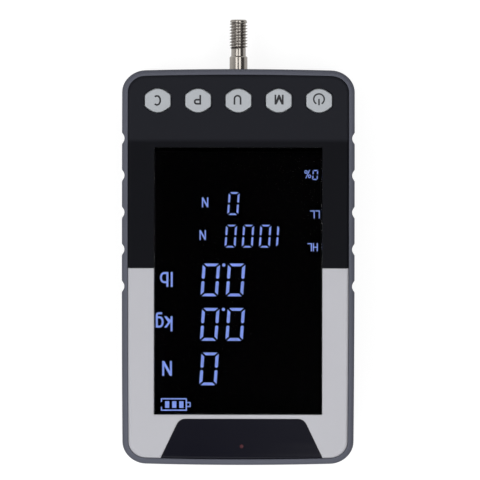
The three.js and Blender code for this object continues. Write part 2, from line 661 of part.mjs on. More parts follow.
function dustGasket() {
  const half = OPENING_HALF + GASKET_WIDTH;
  const span = [OPENING_FOOT - GASKET_WIDTH, OPENING_TOP + GASKET_WIDTH];
  const hole = block([-OPENING_HALF, OPENING_HALF], [OPENING_FOOT, OPENING_TOP], [LCD_BACK, FRONT]);
  return cut(block([-half, half], span, [LCD_FRONT, FACE_INNER]), hole);
}

function lcdPanel() {
  return block([-LCD_HALF, LCD_HALF], [LCD_FOOT, LCD_TOP], [LCD_BACK, LCD_FRONT]);
}

function lcdBacklight() {
  const half = LCD_HALF - BACKLIGHT_INSET;
  const along = [LCD_FOOT + BACKLIGHT_INSET, LCD_TOP - BACKLIGHT_INSET];
  return block([-half, half], along, [BOARD_FRONT, LCD_BACK]);
}

// Flat cable: out from the glass, down and out again to its foot on the board
function lcdFlex() {
  const out = LCD_TOP + FLEX_OUT;
  const level = LCD_FRONT - LCD_THICK / 2;
  const profile = [
    [LCD_TOP, level],
    [LCD_TOP, level - FLEX_THICK],
    [out - FLEX_THICK, level - FLEX_THICK],
    [out - FLEX_THICK, BOARD_FRONT],
    [out + FLEX_FOOT, BOARD_FRONT],
    [out + FLEX_FOOT, BOARD_FRONT + FLEX_THICK],
    [out, BOARD_FRONT + FLEX_THICK],
    [out, level],
  ];
  return crosswise(profile, FLEX_WIDTH / 2);
}

function lightPipe() {
  const foot = BOARD_FRONT + LED_HEIGHT + RUN;
  const flangeFront = FACE_INNER - RUN;
  const rise = [foot, WINDOW_FRONT];
  const flange = [flangeFront - PIPE_FLANGE_THICK, flangeFront];
  const place = [PLATE_OFFSET, PIPE_Y];
  return fuse(rod(PIPE_RADIUS, rise, place), rod(PIPE_FLANGE_RADIUS, flange, place));
}

function chargeLed() {
  const across = [PLATE_OFFSET - LED_WIDTH / 2, PLATE_OFFSET + LED_WIDTH / 2];
  const along = [PIPE_Y - LED_LENGTH / 2, PIPE_Y + LED_LENGTH / 2];
  return block(across, along, [BOARD_FRONT, BOARD_FRONT + LED_HEIGHT]);
}

// Key cap with a bevelled top that follows the sloped face, over the flange that keeps it in
function keyCap() {
  const ring = (by, height) => keyOutline(by).map(([x, y]) => [x, y, height(KEY_Y + y)]);
  const cap = stacked([
    ring(0, () => KEY_FLANGE_FRONT - JOIN),
    ring(0, (y) => faceHeight(y) + KEY_PROUD - KEY_EDGE),
    ring(-KEY_EDGE, (y) => faceHeight(y) + KEY_PROUD),
  ]);
  return fuse(cap, upright(keyOutline(KEY_FLANGE), [KEY_FLANGE_BACK, KEY_FLANGE_FRONT]));
}

function keySwitch() {
  const half = SWITCH_SIZE / 2;
  const well = rod(PLUNGER_RADIUS + RUN, [SWITCH_FRONT - SWITCH_WELL, FRONT], [0, 0]);
  return cut(block([-half, half], [-half, half], [BOARD_FRONT, SWITCH_FRONT]), well);
}

function keyPlunger() {
  const foot = SWITCH_FRONT - SWITCH_WELL + KEY_TRAVEL + RUN;
  return rod(PLUNGER_RADIUS, [foot, KEY_FLANGE_BACK], [0, 0]);
}

function mainBoard() {
  const along = [-BOARD_HALF_LENGTH, BOARD_HALF_LENGTH];
  const outline = roundedBox([-BOARD_HALF, BOARD_HALF], along, BOARD_CORNER);
  const sheet = upright(outline, [BOARD_BACK, BOARD_FRONT]);
  const clear = POST_RADIUS + JOIN;
  const notches = POSTS.map(([x, y]) => {
    const side = Math.sign(x);
    const across = side > 0 ? [x - clear, HALF_WIDTH] : [-HALF_WIDTH, x + clear];
    const foot = y > 0 ? y - clear : -HALF_LENGTH;
    return block(across, [foot, y + clear], [0, FRONT]);
  });
  const holes = BOARD_POSTS.map((place) => rod(BOARD_SCREW_RADIUS + RUN, [0, FRONT], place));
  return cut(sheet, ...notches, ...holes);
}

function chargingSocket() {
  const shell = lengthwise(socketOutline(0), [SOCKET_START, SOCKET_END]);
  const mouthSpan = [SOCKET_START - OVER, SOCKET_END - SOCKET_BACK_WALL];
  const mouth = lengthwise(socketOutline(-SOCKET_WALL), mouthSpan);
  const tongueSpan = [SOCKET_START + SOCKET_TONGUE_SHORT, SOCKET_END];
  const rise = [SOCKET_Z - SOCKET_TONGUE / 2, SOCKET_Z + SOCKET_TONGUE / 2];
  return fuse(cut(shell, mouth), block([-SOCKET_TONGUE_HALF, SOCKET_TONGUE_HALF], tongueSpan, rise));
}

function underBoard([x, y], [width, length], height) {
  const across = [x - width / 2, x + width / 2];
  return block(across, [y - length / 2, y + length / 2], [BOARD_BACK - height, BOARD_BACK]);
}

function buzzer() {
  const place = [BUZZER_SIDE_MARGIN - HALF_WIDTH, BUZZER_FOOT_MARGIN - HALF_LENGTH];
  const back = BOARD_BACK - BUZZER_THICK;
  const body = rod(BUZZER_RADIUS, [back, BOARD_BACK], place, ROUND_SIDES);
  return cut(body, rod(BUZZER_BORE, [back - OVER, back + BUZZER_BORE_DEPTH], place));
}

// S-shaped load cell: two slots from opposite sides and an eye through the middle
function loadCell() {
  const middle = CELL_START + CELL_LENGTH / 2;
  const depth = [CELL_BACK - OVER, CELL_FRONT + OVER];
  const upper = CELL_END - CELL_ARM;
  const lower = CELL_START + CELL_ARM;
  const eye = CELL_LENGTH / 2 - CELL_ARM - CELL_SLOT - CELL_EYE_WALL;
  const shaftBore = [CELL_END - SHAFT_HOLD - CELL_BORE_SPARE, CELL_END + OVER];
  const boltBore = [CELL_START - OVER, CELL_START + BOLT_REACH + CELL_BORE_SPARE];
  return cut(
    block([-CELL_HALF, CELL_HALF], [CELL_START, CELL_END], [CELL_BACK, CELL_FRONT]),
    block([-CELL_HALF - OVER, CELL_HALF - CELL_WEB], [upper - CELL_SLOT, upper], depth),
    block([CELL_WEB - CELL_HALF, CELL_HALF + OVER], [lower, lower + CELL_SLOT], depth),
    rod(eye, depth, [0, middle], ROUND_SIDES),
    lyingRod(SHAFT_RADIUS + RUN, shaftBore, [0, SHAFT_Z]),
    lyingRod(BOLT_BORE, boltBore, [0, SHAFT_Z]),
  );
}

function chassisPlate() {
  const half = ROOM_HALF_WIDTH - CHASSIS_SIDE_GAP;
  const sheet = block([-half, half], [CHASSIS_FOOT, CHASSIS_HEAD], [BACK_WALL, CHASSIS_TOP]);
  const tab = block([-TAB_WIDTH / 2, TAB_WIDTH / 2], [TAB_START, CELL_START], [BACK_WALL, CELL_FRONT]);
  const holes = INSERTS.map((place) => rod(INSERT_RADIUS + RUN, [0, CHASSIS_TOP + OVER], place));
  const boltHole = lyingRod(BOLT_BORE, [TAB_START - OVER, CELL_START + OVER], [0, SHAFT_Z]);
  return cut(fuse(sheet, tab), ...holes, boltHole);
}

function anchorBolt() {
  const head = lyingRod(BOLT_HEAD_RADIUS, [BOLT_START, TAB_START], [0, SHAFT_Z]);
  const shank = lyingRod(BOLT_RADIUS, [BOLT_START, CELL_START + BOLT_REACH], [0, SHAFT_Z]);
  const socketSpan = [BOLT_START - OVER, BOLT_START + BOLT_SOCKET];
  return cut(fuse(head, shank), lyingRod(BOLT_SOCKET_RADIUS, socketSpan, [0, SHAFT_Z], HEX_SIDES));
}

// Groove of the thread as one strip of sections along its helix, from the relief out past the tip
function threadGroove() {
  const sections = Math.round(((THREAD_LENGTH + 2 * THREAD_PITCH) / THREAD_PITCH) * THREAD_SIDES);
  const over = SHAFT_RADIUS + THREAD_CLEAR;
  const flare = (THREAD_CREST_HALF - THREAD_ROOT_HALF) / (SHAFT_RADIUS - THREAD_ROOT);
  const overHalf = THREAD_CREST_HALF + flare * THREAD_CLEAR;
  const profile = [
    [over, -overHalf],
    [over, overHalf],
    [THREAD_ROOT, THREAD_ROOT_HALF],
    [THREAD_ROOT, -THREAD_ROOT_HALF],
  ];
  const vertices = [];
  const faces = [];
  const size = profile.length;
  for (let k = 0; k <= sections; k += 1) {
    const turn = (2 * Math.PI * k) / THREAD_SIDES;
    const along = THREAD_START - THREAD_PITCH + (THREAD_PITCH * k) / THREAD_SIDES;
    for (const [radius, offset] of profile) {
      vertices.push(radius * Math.sin(turn), along + offset, SHAFT_Z + radius * Math.cos(turn));
    }
    for (let i = 0; k < sections && i < size; i += 1) {
      const here = k * size + i;
      const next = k * size + ((i + 1) % size);
      faces.push(here, here + size, next + size, here, next + size, next);
    }
  }
  const last = sections * size;
  faces.push(0, 1, 2, 0, 2, 3, last + 2, last + 1, last, last + 3, last + 2, last);
  const geometry = new THREE.BufferGeometry();
  geometry.setAttribute('position', new THREE.Float32BufferAttribute(vertices, 3));
  geometry.setIndex(faces);
  return solid(geometry);
}

function measuringShaft() {
  const inner = CELL_END - SHAFT_HOLD;
  const profile = [
    [0, inner],
    [SHAFT_RADIUS - SHAFT_BEVEL, inner],
    [SHAFT_RADIUS, inner + SHAFT_BEVEL],
    [SHAFT_RADIUS, COLLAR_END - SHAFT_BEVEL],
    [SHAFT_RADIUS - SHAFT_BEVEL, COLLAR_END],
    [RELIEF_RADIUS, COLLAR_END],
    [RELIEF_RADIUS, THREAD_START],
    [SHAFT_RADIUS, THREAD_START + TIP_BEVEL],
    [SHAFT_RADIUS, SHAFT_TIP - TIP_BEVEL],
    [SHAFT_RADIUS - TIP_BEVEL, SHAFT_TIP],
    [0, SHAFT_TIP],
  ];
  const plain = new THREE.LatheGeometry(outlinePoints(profile), THREAD_SIDES);
  return cut(solid(plain.translate(0, 0, SHAFT_Z)), threadGroove());
}

function shaftNut() {
  const across = NUT_FLATS / (2 * Math.cos(Math.PI / HEX_SIDES));
  const body = lyingRod(across, [NUT_START, NUT_START + NUT_HEIGHT], [0, SHAFT_Z], HEX_SIDES);
  return cut(body, lyingRod(SHAFT_RADIUS + RUN, [NUT_START - OVER, SEAL_START], [0, SHAFT_Z]));
}

function shaftSeal() {
  const ring = lyingRod(SEAL_RADIUS, [SEAL_START, SEAL_END], [0, SHAFT_Z]);
  return cut(ring, lyingRod(SHAFT_RADIUS + RUN, [SEAL_START - OVER, SEAL_END + OVER], [0, SHAFT_Z]));
}

function mountInsert() {
  return turned([
    [INSERT_BORE, 0],
    [INSERT_RADIUS, 0],
    [INSERT_RADIUS, CHASSIS_TOP],
    [INSERT_FLANGE_RADIUS, CHASSIS_TOP],
    [INSERT_FLANGE_RADIUS, INSERT_TOP],
    [INSERT_BORE, INSERT_TOP],
    [INSERT_BORE, 0],
  ]);
}

// Screw standing on its head: head, then shank with a blunt end
function screw([headRadius, head], [radius, length]) {
  return turned([
    [0, -head],
    [headRadius, -head],
    [headRadius, 0],
    [radius, 0],
    [radius, length - radius],
    [radius / 2, length],
    [0, length],
  ]);
}

function batteryPack() {
  const section = roundedBox([-BATTERY_HALF, BATTERY_HALF], [BATTERY_BACK, BATTERY_FRONT], BATTERY_CORNER);
  return lengthwise(section, [BATTERY_FOOT, BATTERY_HEAD]);
}

function batteryPad() {
  const half = BATTERY_HALF - PAD_INSET;
  const along = [BATTERY_FOOT + PAD_INSET, BATTERY_HEAD - PAD_INSET];
  return block([-half, half], along, [CHASSIS_TOP, BATTERY_BACK]);
}

// Lead between two places, leaving each of them straight
function lead(start, startWay, end, endWay) {
  const [from, to] = [new THREE.Vector3(...start), new THREE.Vector3(...end)];
  const route = new THREE.CubicBezierCurve3(
    from,
    from.clone().addScaledVector(startWay, LEAD_REACH),
    to.clone().addScaledVector(endWay, LEAD_REACH),
    to,
  );
  const section = Array.from({ length: LEAD_SIDES }, (_, i) => {
    const turn = (2 * Math.PI * i) / LEAD_SIDES;
    return [LEAD_RADIUS * Math.cos(turn), LEAD_RADIUS * Math.sin(turn)];
  });
  const sweep = { steps: LEAD_STEPS, extrudePath: route, bevelEnabled: false };
  return solid(new THREE.ExtrudeGeometry(outlineShape(section), sweep));
}

const EAST = new THREE.Vector3(1, 0, 0);
const WEST = new THREE.Vector3(-1, 0, 0);
const BACKWARDS = new THREE.Vector3(0, 0, -1);

function batteryLead() {
  const start = [BATTERY_HALF + RUN, BATTERY_HEAD - BATTERY_LEAD_DOWN, BATTERY_BACK + BATTERY_THICK / 2];
  return lead(start, EAST, [SIDE_STRIP_X, BATTERY_CONNECTOR_Y, CONNECTOR_BACK - RUN], BACKWARDS);
}

function sensorLead() {
  const start = [-CELL_HALF - RUN, CELL_START + CELL_LENGTH / 2, CELL_BACK + CELL_THICK / 2];
  return lead(start, WEST, [-SIDE_STRIP_X, SENSOR_CONNECTOR_Y, CONNECTOR_BACK - RUN], BACKWARDS);
}

function finish(color, roughness, metalness = 0) {
  return new THREE.MeshStandardMaterial({ color, roughness, metalness });
}

const finishes = {
  bumper: () => finish(0x5f616a, 0.75),
  darkPlastic: () => finish(0x1b1c20, 0.5),
  silverPaint: () => finish(0xbcbcc2, 0.4, 0.3),
  glossBlack: () => finish(0x16161d, 0.2),
  clear: () => finish(0x0a0a0c, 0.05),
  displayBlack: () => finish(0x020203, 0.1),
  foam: () => finish(0x2a2a2c, 0.95),
  white: () => finish(0xe4e4e0, 0.5),
  amber: () => finish(0xb5782a, 0.4),
  board: () => finish(0x1d5a35, 0.5),
  keyGrey: () => finish(0xb3b6bb, 0.5),
  chip: () => finish(0x1a1a1c, 0.6),
  red: () => finish(0x7a1c22, 0.25),
  steel: () => finish(0x9a958e, 0.3, 1),
  aluminium: () => finish(0xb4b7ba, 0.4, 1),
  zinc: () => finish(0xa3a6aa, 0.35, 1),
  brass: () => finish(0xb08d3e, 0.35, 1),
  rubber: () => finish(0x1c1c1c, 0.85),
  wrap: () => finish(0x2b5fa8, 0.4),
  label: () => finish(0xc4c6c8, 0.45, 0.4),
};

function piece(name, body, material, [x, y, z] = [0, 0, 0]) {
  const mesh = new THREE.Mesh(geometryOf(body), finishes[material]());
  mesh.name = name;
  mesh.position.set(x, y, z);
  return mesh;
}

function assembly(...pieces) {
  const group = new THREE.Group();
  group.add(...pieces.flat());
  return group;
}

const casing = assembly(
  piece('grip_bumper', gripBumper(), 'bumper'),
  piece('front_cover', frontCover(), 'darkPlastic'),
  piece('rear_cover', rearCover(), 'darkPlastic'),
  piece('silver_fascia', silverFascia(), 'silverPaint'),
  piece('nameplate', nameplate(), 'glossBlack'),
  piece('back_label', upright(labelOutline(0), [LABEL_RECESS - LABEL_THICK, LABEL_RECESS]), 'label'),
);

const display = assembly(
  piece('display_window', displayWindow(), 'clear'),
  piece('dust_gasket', dustGasket(), 'foam'),
  piece('lcd_panel', lcdPanel(), 'displayBlack'),
  piece('lcd_backlight', lcdBacklight(), 'white'),
  piece('lcd_flex', lcdFlex(), 'amber'),
);

const keypad = assembly(
  KEY_NAMES.map((name, i) => {
    const key = assembly(
      piece(`${name}_key`, keyCap(), 'keyGrey'),
      piece(`${name}_switch`, keySwitch(), 'chip'),
      piece(`${name}_plunger`, keyPlunger(), 'white'),
    );
    key.position.set(keyX(i), KEY_Y, 0);
    return key;
  }),
);

const processor = underBoard([0, CHIP_Y], [CHIP_SIZE, CHIP_SIZE], CHIP_THICK);
const shield = underBoard([SIDE_STRIP_X, SHIELD_Y], [SHIELD_WIDTH, SHIELD_LENGTH], SHIELD_THICK);
const connectorSize = [CONNECTOR_WIDTH, CONNECTOR_LENGTH];
const sensorPlug = underBoard([-SIDE_STRIP_X, SENSOR_CONNECTOR_Y], connectorSize, CONNECTOR_HEIGHT);
const batteryPlug = underBoard([SIDE_STRIP_X, BATTERY_CONNECTOR_Y], connectorSize, CONNECTOR_HEIGHT);
const electronics = assembly(
  piece('main_board', mainBoard(), 'board'),
  piece('charging_socket', chargingSocket(), 'zinc'),
  piece('charge_led', chargeLed(), 'red'),
  piece('light_pipe', lightPipe(), 'red'),
  piece('buzzer', buzzer(), 'chip'),
  piece('processor_chip', processor, 'chip'),
  piece('adc_shield', shield, 'zinc'),
  piece('sensor_connector', sensorPlug, 'white'),
  piece('battery_connector', batteryPlug, 'white'),
  piece('battery_pack', batteryPack(), 'wrap'),
  piece('battery_pad', batteryPad(), 'foam'),
  piece('battery_lead', batteryLead(), 'rubber'),
  piece('sensor_lead', sensorLead(), 'rubber'),
);

const sensor = assembly(
  piece('measuring_shaft', measuringShaft(), 'steel'),
  piece('shaft_lock_nut', shaftNut(), 'zinc'),
  piece('shaft_seal', shaftSeal(), 'rubber'),
  piece('load_cell', loadCell(), 'aluminium'),
  piece('chassis_plate', chassisPlate(), 'zinc'),
  piece('anchor_bolt', anchorBolt(), 'zinc'),
);

const caseScrew = screw([SCREW_HEAD_RADIUS, SCREW_HEAD], [SCREW_RADIUS, SCREW_LENGTH]);
const boardScrewHead = [BOARD_SCREW_HEAD_RADIUS, BOARD_SCREW_HEAD];
const boardScrew = screw(boardScrewHead, [BOARD_SCREW_RADIUS, BOARD_SCREW_LENGTH]);
const fasteners = assembly(
  INSERTS.map(([x, y], i) => piece(`mount_insert_${i + 1}`, mountInsert(), 'brass', [x, y, 0])),
  POSTS.map(([x, y], i) => piece(`housing_screw_${i + 1}`, caseScrew, 'zinc', [x, y, SCREW_SUNK])),
  BOARD_POSTS.map(([x, y], i) => piece(`board_screw_${i + 1}`, boardScrew, 'zinc', [x, y, BOARD_BACK])),
);

export default assembly(casing, display, keypad, electronics, sensor, fasteners);
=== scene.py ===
import math

import bmesh
import bpy
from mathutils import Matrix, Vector


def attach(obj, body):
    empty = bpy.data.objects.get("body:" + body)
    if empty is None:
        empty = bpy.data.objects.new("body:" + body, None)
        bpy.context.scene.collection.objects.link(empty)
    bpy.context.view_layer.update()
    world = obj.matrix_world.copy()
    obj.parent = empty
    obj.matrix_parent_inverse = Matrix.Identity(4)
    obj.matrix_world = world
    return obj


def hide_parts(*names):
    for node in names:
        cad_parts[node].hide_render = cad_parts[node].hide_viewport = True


# Digital force gauge lying on its back, with the measuring shaft towards +Y and the display up.
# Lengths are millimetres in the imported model's frame, and become metres where a mesh is made.
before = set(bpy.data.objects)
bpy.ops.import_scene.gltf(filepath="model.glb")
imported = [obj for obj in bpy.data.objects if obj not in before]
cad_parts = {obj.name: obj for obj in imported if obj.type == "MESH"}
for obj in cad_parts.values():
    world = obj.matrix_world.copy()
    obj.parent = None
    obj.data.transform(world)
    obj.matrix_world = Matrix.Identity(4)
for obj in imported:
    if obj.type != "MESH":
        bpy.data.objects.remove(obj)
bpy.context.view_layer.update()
scene = bpy.context.scene
MM = 0.001


# Camera: it looks straight down on the display from two metres above it, with the shaft up.
# The object lies turned in the picture by a small fraction of a degree.
def linked(name, data):
    """New object in the scene."""
    made = bpy.data.objects.new(name, data)
    scene.collection.objects.link(made)
    return made


camera = linked("camera", bpy.data.cameras.new("camera"))
camera.location = (0.58 * MM, 8.92 * MM, 2034 * MM)
camera.rotation_euler = (0, 0, math.radians(0.08))
camera.data.lens = 453.9
camera.data.sensor_width = 36
camera.data.clip_end = 500
scene.camera = camera
scene.view_settings.view_transform = "Standard"


# Studio: a white sweep under and round the object and a dark ceiling. Two long lamps overhead give
# most of the light and draw the bright lines in the steel; weaker ones stand left and at both ends.
def add(tree, kind, *values, **settings):
    """Adds a node; values feed its inputs in order, settings are its properties or named inputs."""
    made = tree.nodes.new(kind)
    fed = []
    for key, value in settings.items():
        if hasattr(made, key):
            setattr(made, key, value)
        else:
            fed.append((made.inputs[key.replace("_", " ")], value))
    for socket, value in [*zip(made.inputs, values), *fed]:
        if isinstance(value, bpy.types.NodeSocket):
            tree.links.new(value, socket)
        elif value is not None:
            socket.default_value = value
    return made


def output(tree, kind, *values, **settings):
    """Adds a node and gives its first output."""
    return add(tree, kind, *values, **settings).outputs[0]


def maths(kind, *values):
    """Adds a math node to the tree of its values and gives its result."""
    tree = next(value.id_data for value in values if isinstance(value, bpy.types.NodeSocket))
    return output(tree, "ShaderNodeMath", *values, operation=kind)


def chosen(mask, off, on):
    """The value off where a mask is 0, and the value on where it is 1."""
    return output(mask.id_data, "ShaderNodeMix", mask, None, off, on)


def seen_by(tree):
    """1 for rays that leave the camera, and 1 for rays that leave a glossy or clear surface."""
    rays = add(tree, "ShaderNodeLightPath").outputs
    in_mirrors = maths("MAXIMUM", rays["Is Glossy Ray"], rays["Is Transmission Ray"])
    return rays["Is Camera Ray"], in_mirrors


def build_world(daylight, walls):
    """Plain daylight; mirrors see a white horizon, grey walls and a black ceiling instead."""
    scene.world = bpy.data.worlds.new("studio")
    scene.world.use_nodes = True
    tree = scene.world.node_tree
    way = add(tree, "ShaderNodeTexCoord").outputs["Generated"]
    sweep = add(tree, "ShaderNodeValToRGB", add(tree, "ShaderNodeSeparateXYZ", way).outputs["Z"])
    stops = sweep.color_ramp.elements
    stops[0].position, stops[1].position = 0.05, 0.99
    for place in (0.35, 0.85):
        stops.new(place)
    for stop, level in zip(stops, (1.0, walls, walls, 0.0)):
        stop.color = (level, level, level, 1)
    by_camera, in_mirrors = seen_by(tree)
    shown = chosen(by_camera, chosen(in_mirrors, daylight, sweep.outputs[0]), 1.0)
    background = tree.nodes["Background"].inputs
    tree.links.new(shown, background["Strength"])
    background["Color"].default_value = (1, 1, 1, 1)


def meshed(name, points, faces):
    """New object with a mesh from points in metres."""
    mesh = bpy.data.meshes.new(name)
    mesh.from_pydata(points, [], faces)
    return linked(name, mesh)


def build_floor(half, paleness, glow):
    """White paper that glows for the camera and for mirrors, and only catches light otherwise."""
    corners = [(-half, -half, 0), (half, -half, 0), (half, half, 0), (-half, half, 0)]
    floor = meshed("floor", corners, [(0, 1, 2, 3)])
    floor.location.z = -0.05 * MM
    material = bpy.data.materials.new("white sweep")
    material.use_nodes = True
    tree = material.node_tree
    tree.nodes.remove(tree.nodes["Principled BSDF"])
    strength = maths("MULTIPLY", maths("MAXIMUM", *seen_by(tree)), glow)
    light = output(tree, "ShaderNodeEmission", (1, 1, 1, 1), strength)
    paper = output(tree, "ShaderNodeBsdfDiffuse", (paleness, paleness, paleness, 1))
    both = output(tree, "ShaderNodeAddShader", light, paper)
    tree.links.new(both, tree.nodes["Material Output"].inputs["Surface"])
    floor.data.materials.append(material)


def soft_lamp(name, lean, compass, distance, size, power):
    """Area lamp that leans from the vertical towards a compass way, 0 for +Y and 90 for +X."""
    lamp = linked(name, bpy.data.lights.new(name, "AREA"))
    lean, compass = math.radians(lean), math.radians(compass)
    out = math.sin(lean)
    way = Vector((out * math.sin(compass), out * math.cos(compass), math.cos(lean)))
    lamp.location = way * distance
    lamp.rotation_euler = way.to_track_quat("Z", "Y").to_euler()
    lamp.data.shape = "RECTANGLE"
    lamp.data.size, lamp.data.size_y = size
    lamp.data.energy = power


build_world(daylight=0.2, walls=0.12)
build_floor(half=60, paleness=0.3, glow=0.82)
soft_lamp("left overhead lamp", 23.8, -90, 1.4, (0.9, 0.61), 5.1)
soft_lamp("right overhead lamp", 16.3, 90, 1.4, (0.9, 0.63), 5.2)
soft_lamp("left lamp", 60, -90, 1.4, (1.4, 1.05), 3.2)
soft_lamp("head lamp", 50, 0, 1.4, (1.2, 0.9), 2.7)
soft_lamp("foot lamp", 50, 180, 1.0, (0.9, 0.7), 4.2)


# Rear cover: the back half of the case, a shell moulded in dark ABS with rounded edges.
# Its four screw posts stand on the back wall, over deep holes for the screw heads.
HALF_WIDTH, HALF_LENGTH, CASE_CORNER = 38.5, 65.5, 7.7
END_CROWN, FOOT_TAPER = 0.65, 0.35
BEND_Y, SLOPE_LENGTH, SLOPE_DROP = 41.6, 23.9, 1.2
PARTING, FRONT = 17.0, 34.0
COVER_INSET, CAVITY_INSET, BACK_WALL = 2.0, 4.0, 2.4
POST_RADIUS, PORT_RADIUS = 3.6, 3.8
POSTS = [(x, y) for x in (31.5, -31.5) for y in (44.95, -58.5)]
INSERTS = [(x, y) for y in (30, -30) for x in (26, -26)]


def fall(y, sloped=True):
    """How far the front face has fallen away at a place under the keys."""
    return max(0.0, y - BEND_Y) * SLOPE_DROP / SLOPE_LENGTH if sloped else 0.0


def spread(start, end, count):
    """Evenly spaced values from start to end, both included."""
    return [start + (end - start) * k / (count - 1) for k in range(count)]


def bow(cx, cy, rx, ry, start, end, steps=12):
    """Points on an ellipse between two angles in degrees."""
    turns = [math.radians(turn) for turn in spread(start, end, steps)]
    return [(cx + rx * math.cos(t), cy + ry * math.sin(t)) for t in turns]


def drawn_in(y):
    """How far each side has drawn in at a place towards the foot."""
    return FOOT_TAPER * (min(y, 0) / HALF_LENGTH) ** 2


def case_outline(inset, side_stations, end_steps=8, corner_steps=12):
    """The case's outline, moved inwards, from the middle of its foot round the +X side and back."""
    half_width, half_length, corner = [
        full - inset for full in (HALF_WIDTH, HALF_LENGTH, CASE_CORNER)]
    corner_x, corner_y = half_width - corner, half_length - corner
    foot = [(corner_x * k / end_steps, -half_length) for k in range(end_steps)]
    foot += bow(corner_x, -corner_y, corner, corner, -90, 0, corner_steps + 1)
    side = [(half_width, y) for y in side_stations]
    flank = []
    for x, y in [*foot, *side, *[(x, -y) for x, y in reversed(foot)]]:
        crown = END_CROWN * max(0.0, (abs(y) - corner_y) / corner) * (x / HALF_WIDTH) ** 2
        flank.append((x - drawn_in(y) * x / HALF_WIDTH, y - math.copysign(crown, y)))
    return flank + [(-x, y) for x, y in reversed(flank[1:-1])]


def case_ring(inset, height, sloped=False):
    stations = [*spread(-50, 35, 12), BEND_Y, 50]
    return [(x, y, height - fall(y, sloped)) for x, y in case_outline(inset, stations)]


def round_edge(inset, height, radius, rising, steps=7):
    """(inset, height) levels of a quarter round at the top or the bottom of a body, going up."""
    rise = radius if rising else -radius
    levels = bow(inset + radius, height - rise, -radius, rise, 0, 90, steps)
    return levels if rising else levels[::-1]


def flared(by, top, radius, start=0, end=85.944, steps=5):
    """(by, height) levels of a hole's mouth that widens upwards in a round."""
    return bow(by + radius, top - radius, -radius, radius, start, end, steps)


def cleaned(piece, merging=0.0, melting=False):
    """Turns a piece's faces outwards; before that, merges its close points and its level faces."""
    body = bmesh.new()
    body.from_mesh(piece.data)
    if merging:
        bmesh.ops.remove_doubles(body, verts=body.verts, dist=merging)
    if melting:
        bmesh.ops.dissolve_limit(body, verts=body.verts, edges=body.edges,
                                 angle_limit=math.radians(1))
    bmesh.ops.recalc_face_normals(body, faces=body.faces)
    body.to_mesh(piece.data)
    body.free()
    return piece


def loft(name, rings, ends="flat"):
    """Mesh object of a skin over rings; its ends are flat, strips across X, or joined in a loop."""
    count = len(rings[0])
    top = (len(rings) - 1) * count
    faces = []
    for k in range(len(rings) if ends == "loop" else len(rings) - 1):
        low, high = k * count, (k + 1) % len(rings) * count
        for i in range(count):
            after = (i + 1) % count
            faces.append((low + i, low + after, high + after, high + i))
    if ends == "flat":
        faces += [tuple(range(count))[::-1], tuple(range(top, top + count))]
    elif ends == "strips":
        for i in range(count // 2):
            strip = list(dict.fromkeys((i, i + 1, count - i - 1, (count - i) % count)))
            faces += [tuple(reversed(strip)), tuple(top + c for c in strip)]
    points = [tuple(c * MM for c in point) for ring in rings for point in ring]
    return cleaned(meshed(name, points, faces), 1e-7)


def turned(name, profile, place=(0, 0, 0), sides=40, lying=False):
    """Round body from (radius, along) steps, about an upright axis or one that lies along Y."""
    rings = []
    for radius, along in profile:
        ring = []
        for turn in [2 * math.pi * k / sides for k in range(sides)]:
            a, b = radius * math.cos(turn), radius * math.sin(turn)
            way = (a, along, b) if lying else (a, b, along)
            ring.append(tuple(p + w for p, w in zip(place, way)))
        rings.append(ring)
    return loft(name, rings)


def columns(places, *profile, sides=40):
    """Upright round bodies of one profile at several places."""
    return [turned("column", profile, (x, y, 0), sides) for x, y in places]


def rounded_box(across, along, by, corner, steps):
    """Outline of a rectangle that is grown by a length and has round corners."""
    points = []
    reach = by - corner
    for quarter, (i, j) in enumerate(((1, 1), (0, 1), (0, 0), (1, 0))):
        cx, cy = across[i] + (2 * i - 1) * reach, along[j] + (2 * j - 1) * reach
        points += bow(cx, cy, corner, corner, 90 * quarter, 90 * quarter + 90, steps)
    return points


def raised(outline, height):
    return [(x, y, height) for x, y in outline]


def block(across, along, profile, corner=0.3, name="block", steps=5):
    """Upright body with round corners, from (how far it stands out, height) levels."""
    return loft(name, [raised(rounded_box(across, along, by, max(corner + by, 0.04), steps), height)
                       for by, height in profile])


def settle(piece):
    """Applies a piece's modifiers to its mesh."""
    graph = bpy.context.evaluated_depsgraph_get()
    mesh = bpy.data.meshes.new_from_object(piece.evaluated_get(graph))
    piece.modifiers.clear()
    piece.data = mesh
    return piece


def shaped(piece, tools, way="DIFFERENCE"):
    """Cuts a body by tools, joins them to it, or keeps what it has in common with them."""
    for tool in tools:
        step = piece.modifiers.new("tool", "BOOLEAN")
        step.solver, step.operation, step.object = "EXACT", way, tool
    settle(piece)
    for tool in tools:
        bpy.data.objects.remove(tool)
    return piece


def smoothed(piece, angle=32):
    """Smooth shading that leaves the flat faces flat and the sharp edges sharp."""
    piece.data.shade_smooth()
    piece.data.set_sharp_from_angle(angle=math.radians(angle))
    even = piece.modifiers.new("even shading", "WEIGHTED_NORMAL")
    even.keep_sharp, even.weight = True, 90
    return settle(piece)


def srgb(*levels):
    """Colour from levels of red, green and blue between 0 and 255."""
    return (*[((v / 255 + 0.055) / 1.055) ** 2.4 if v > 10 else v / 3294.6 for v in levels], 1.0)


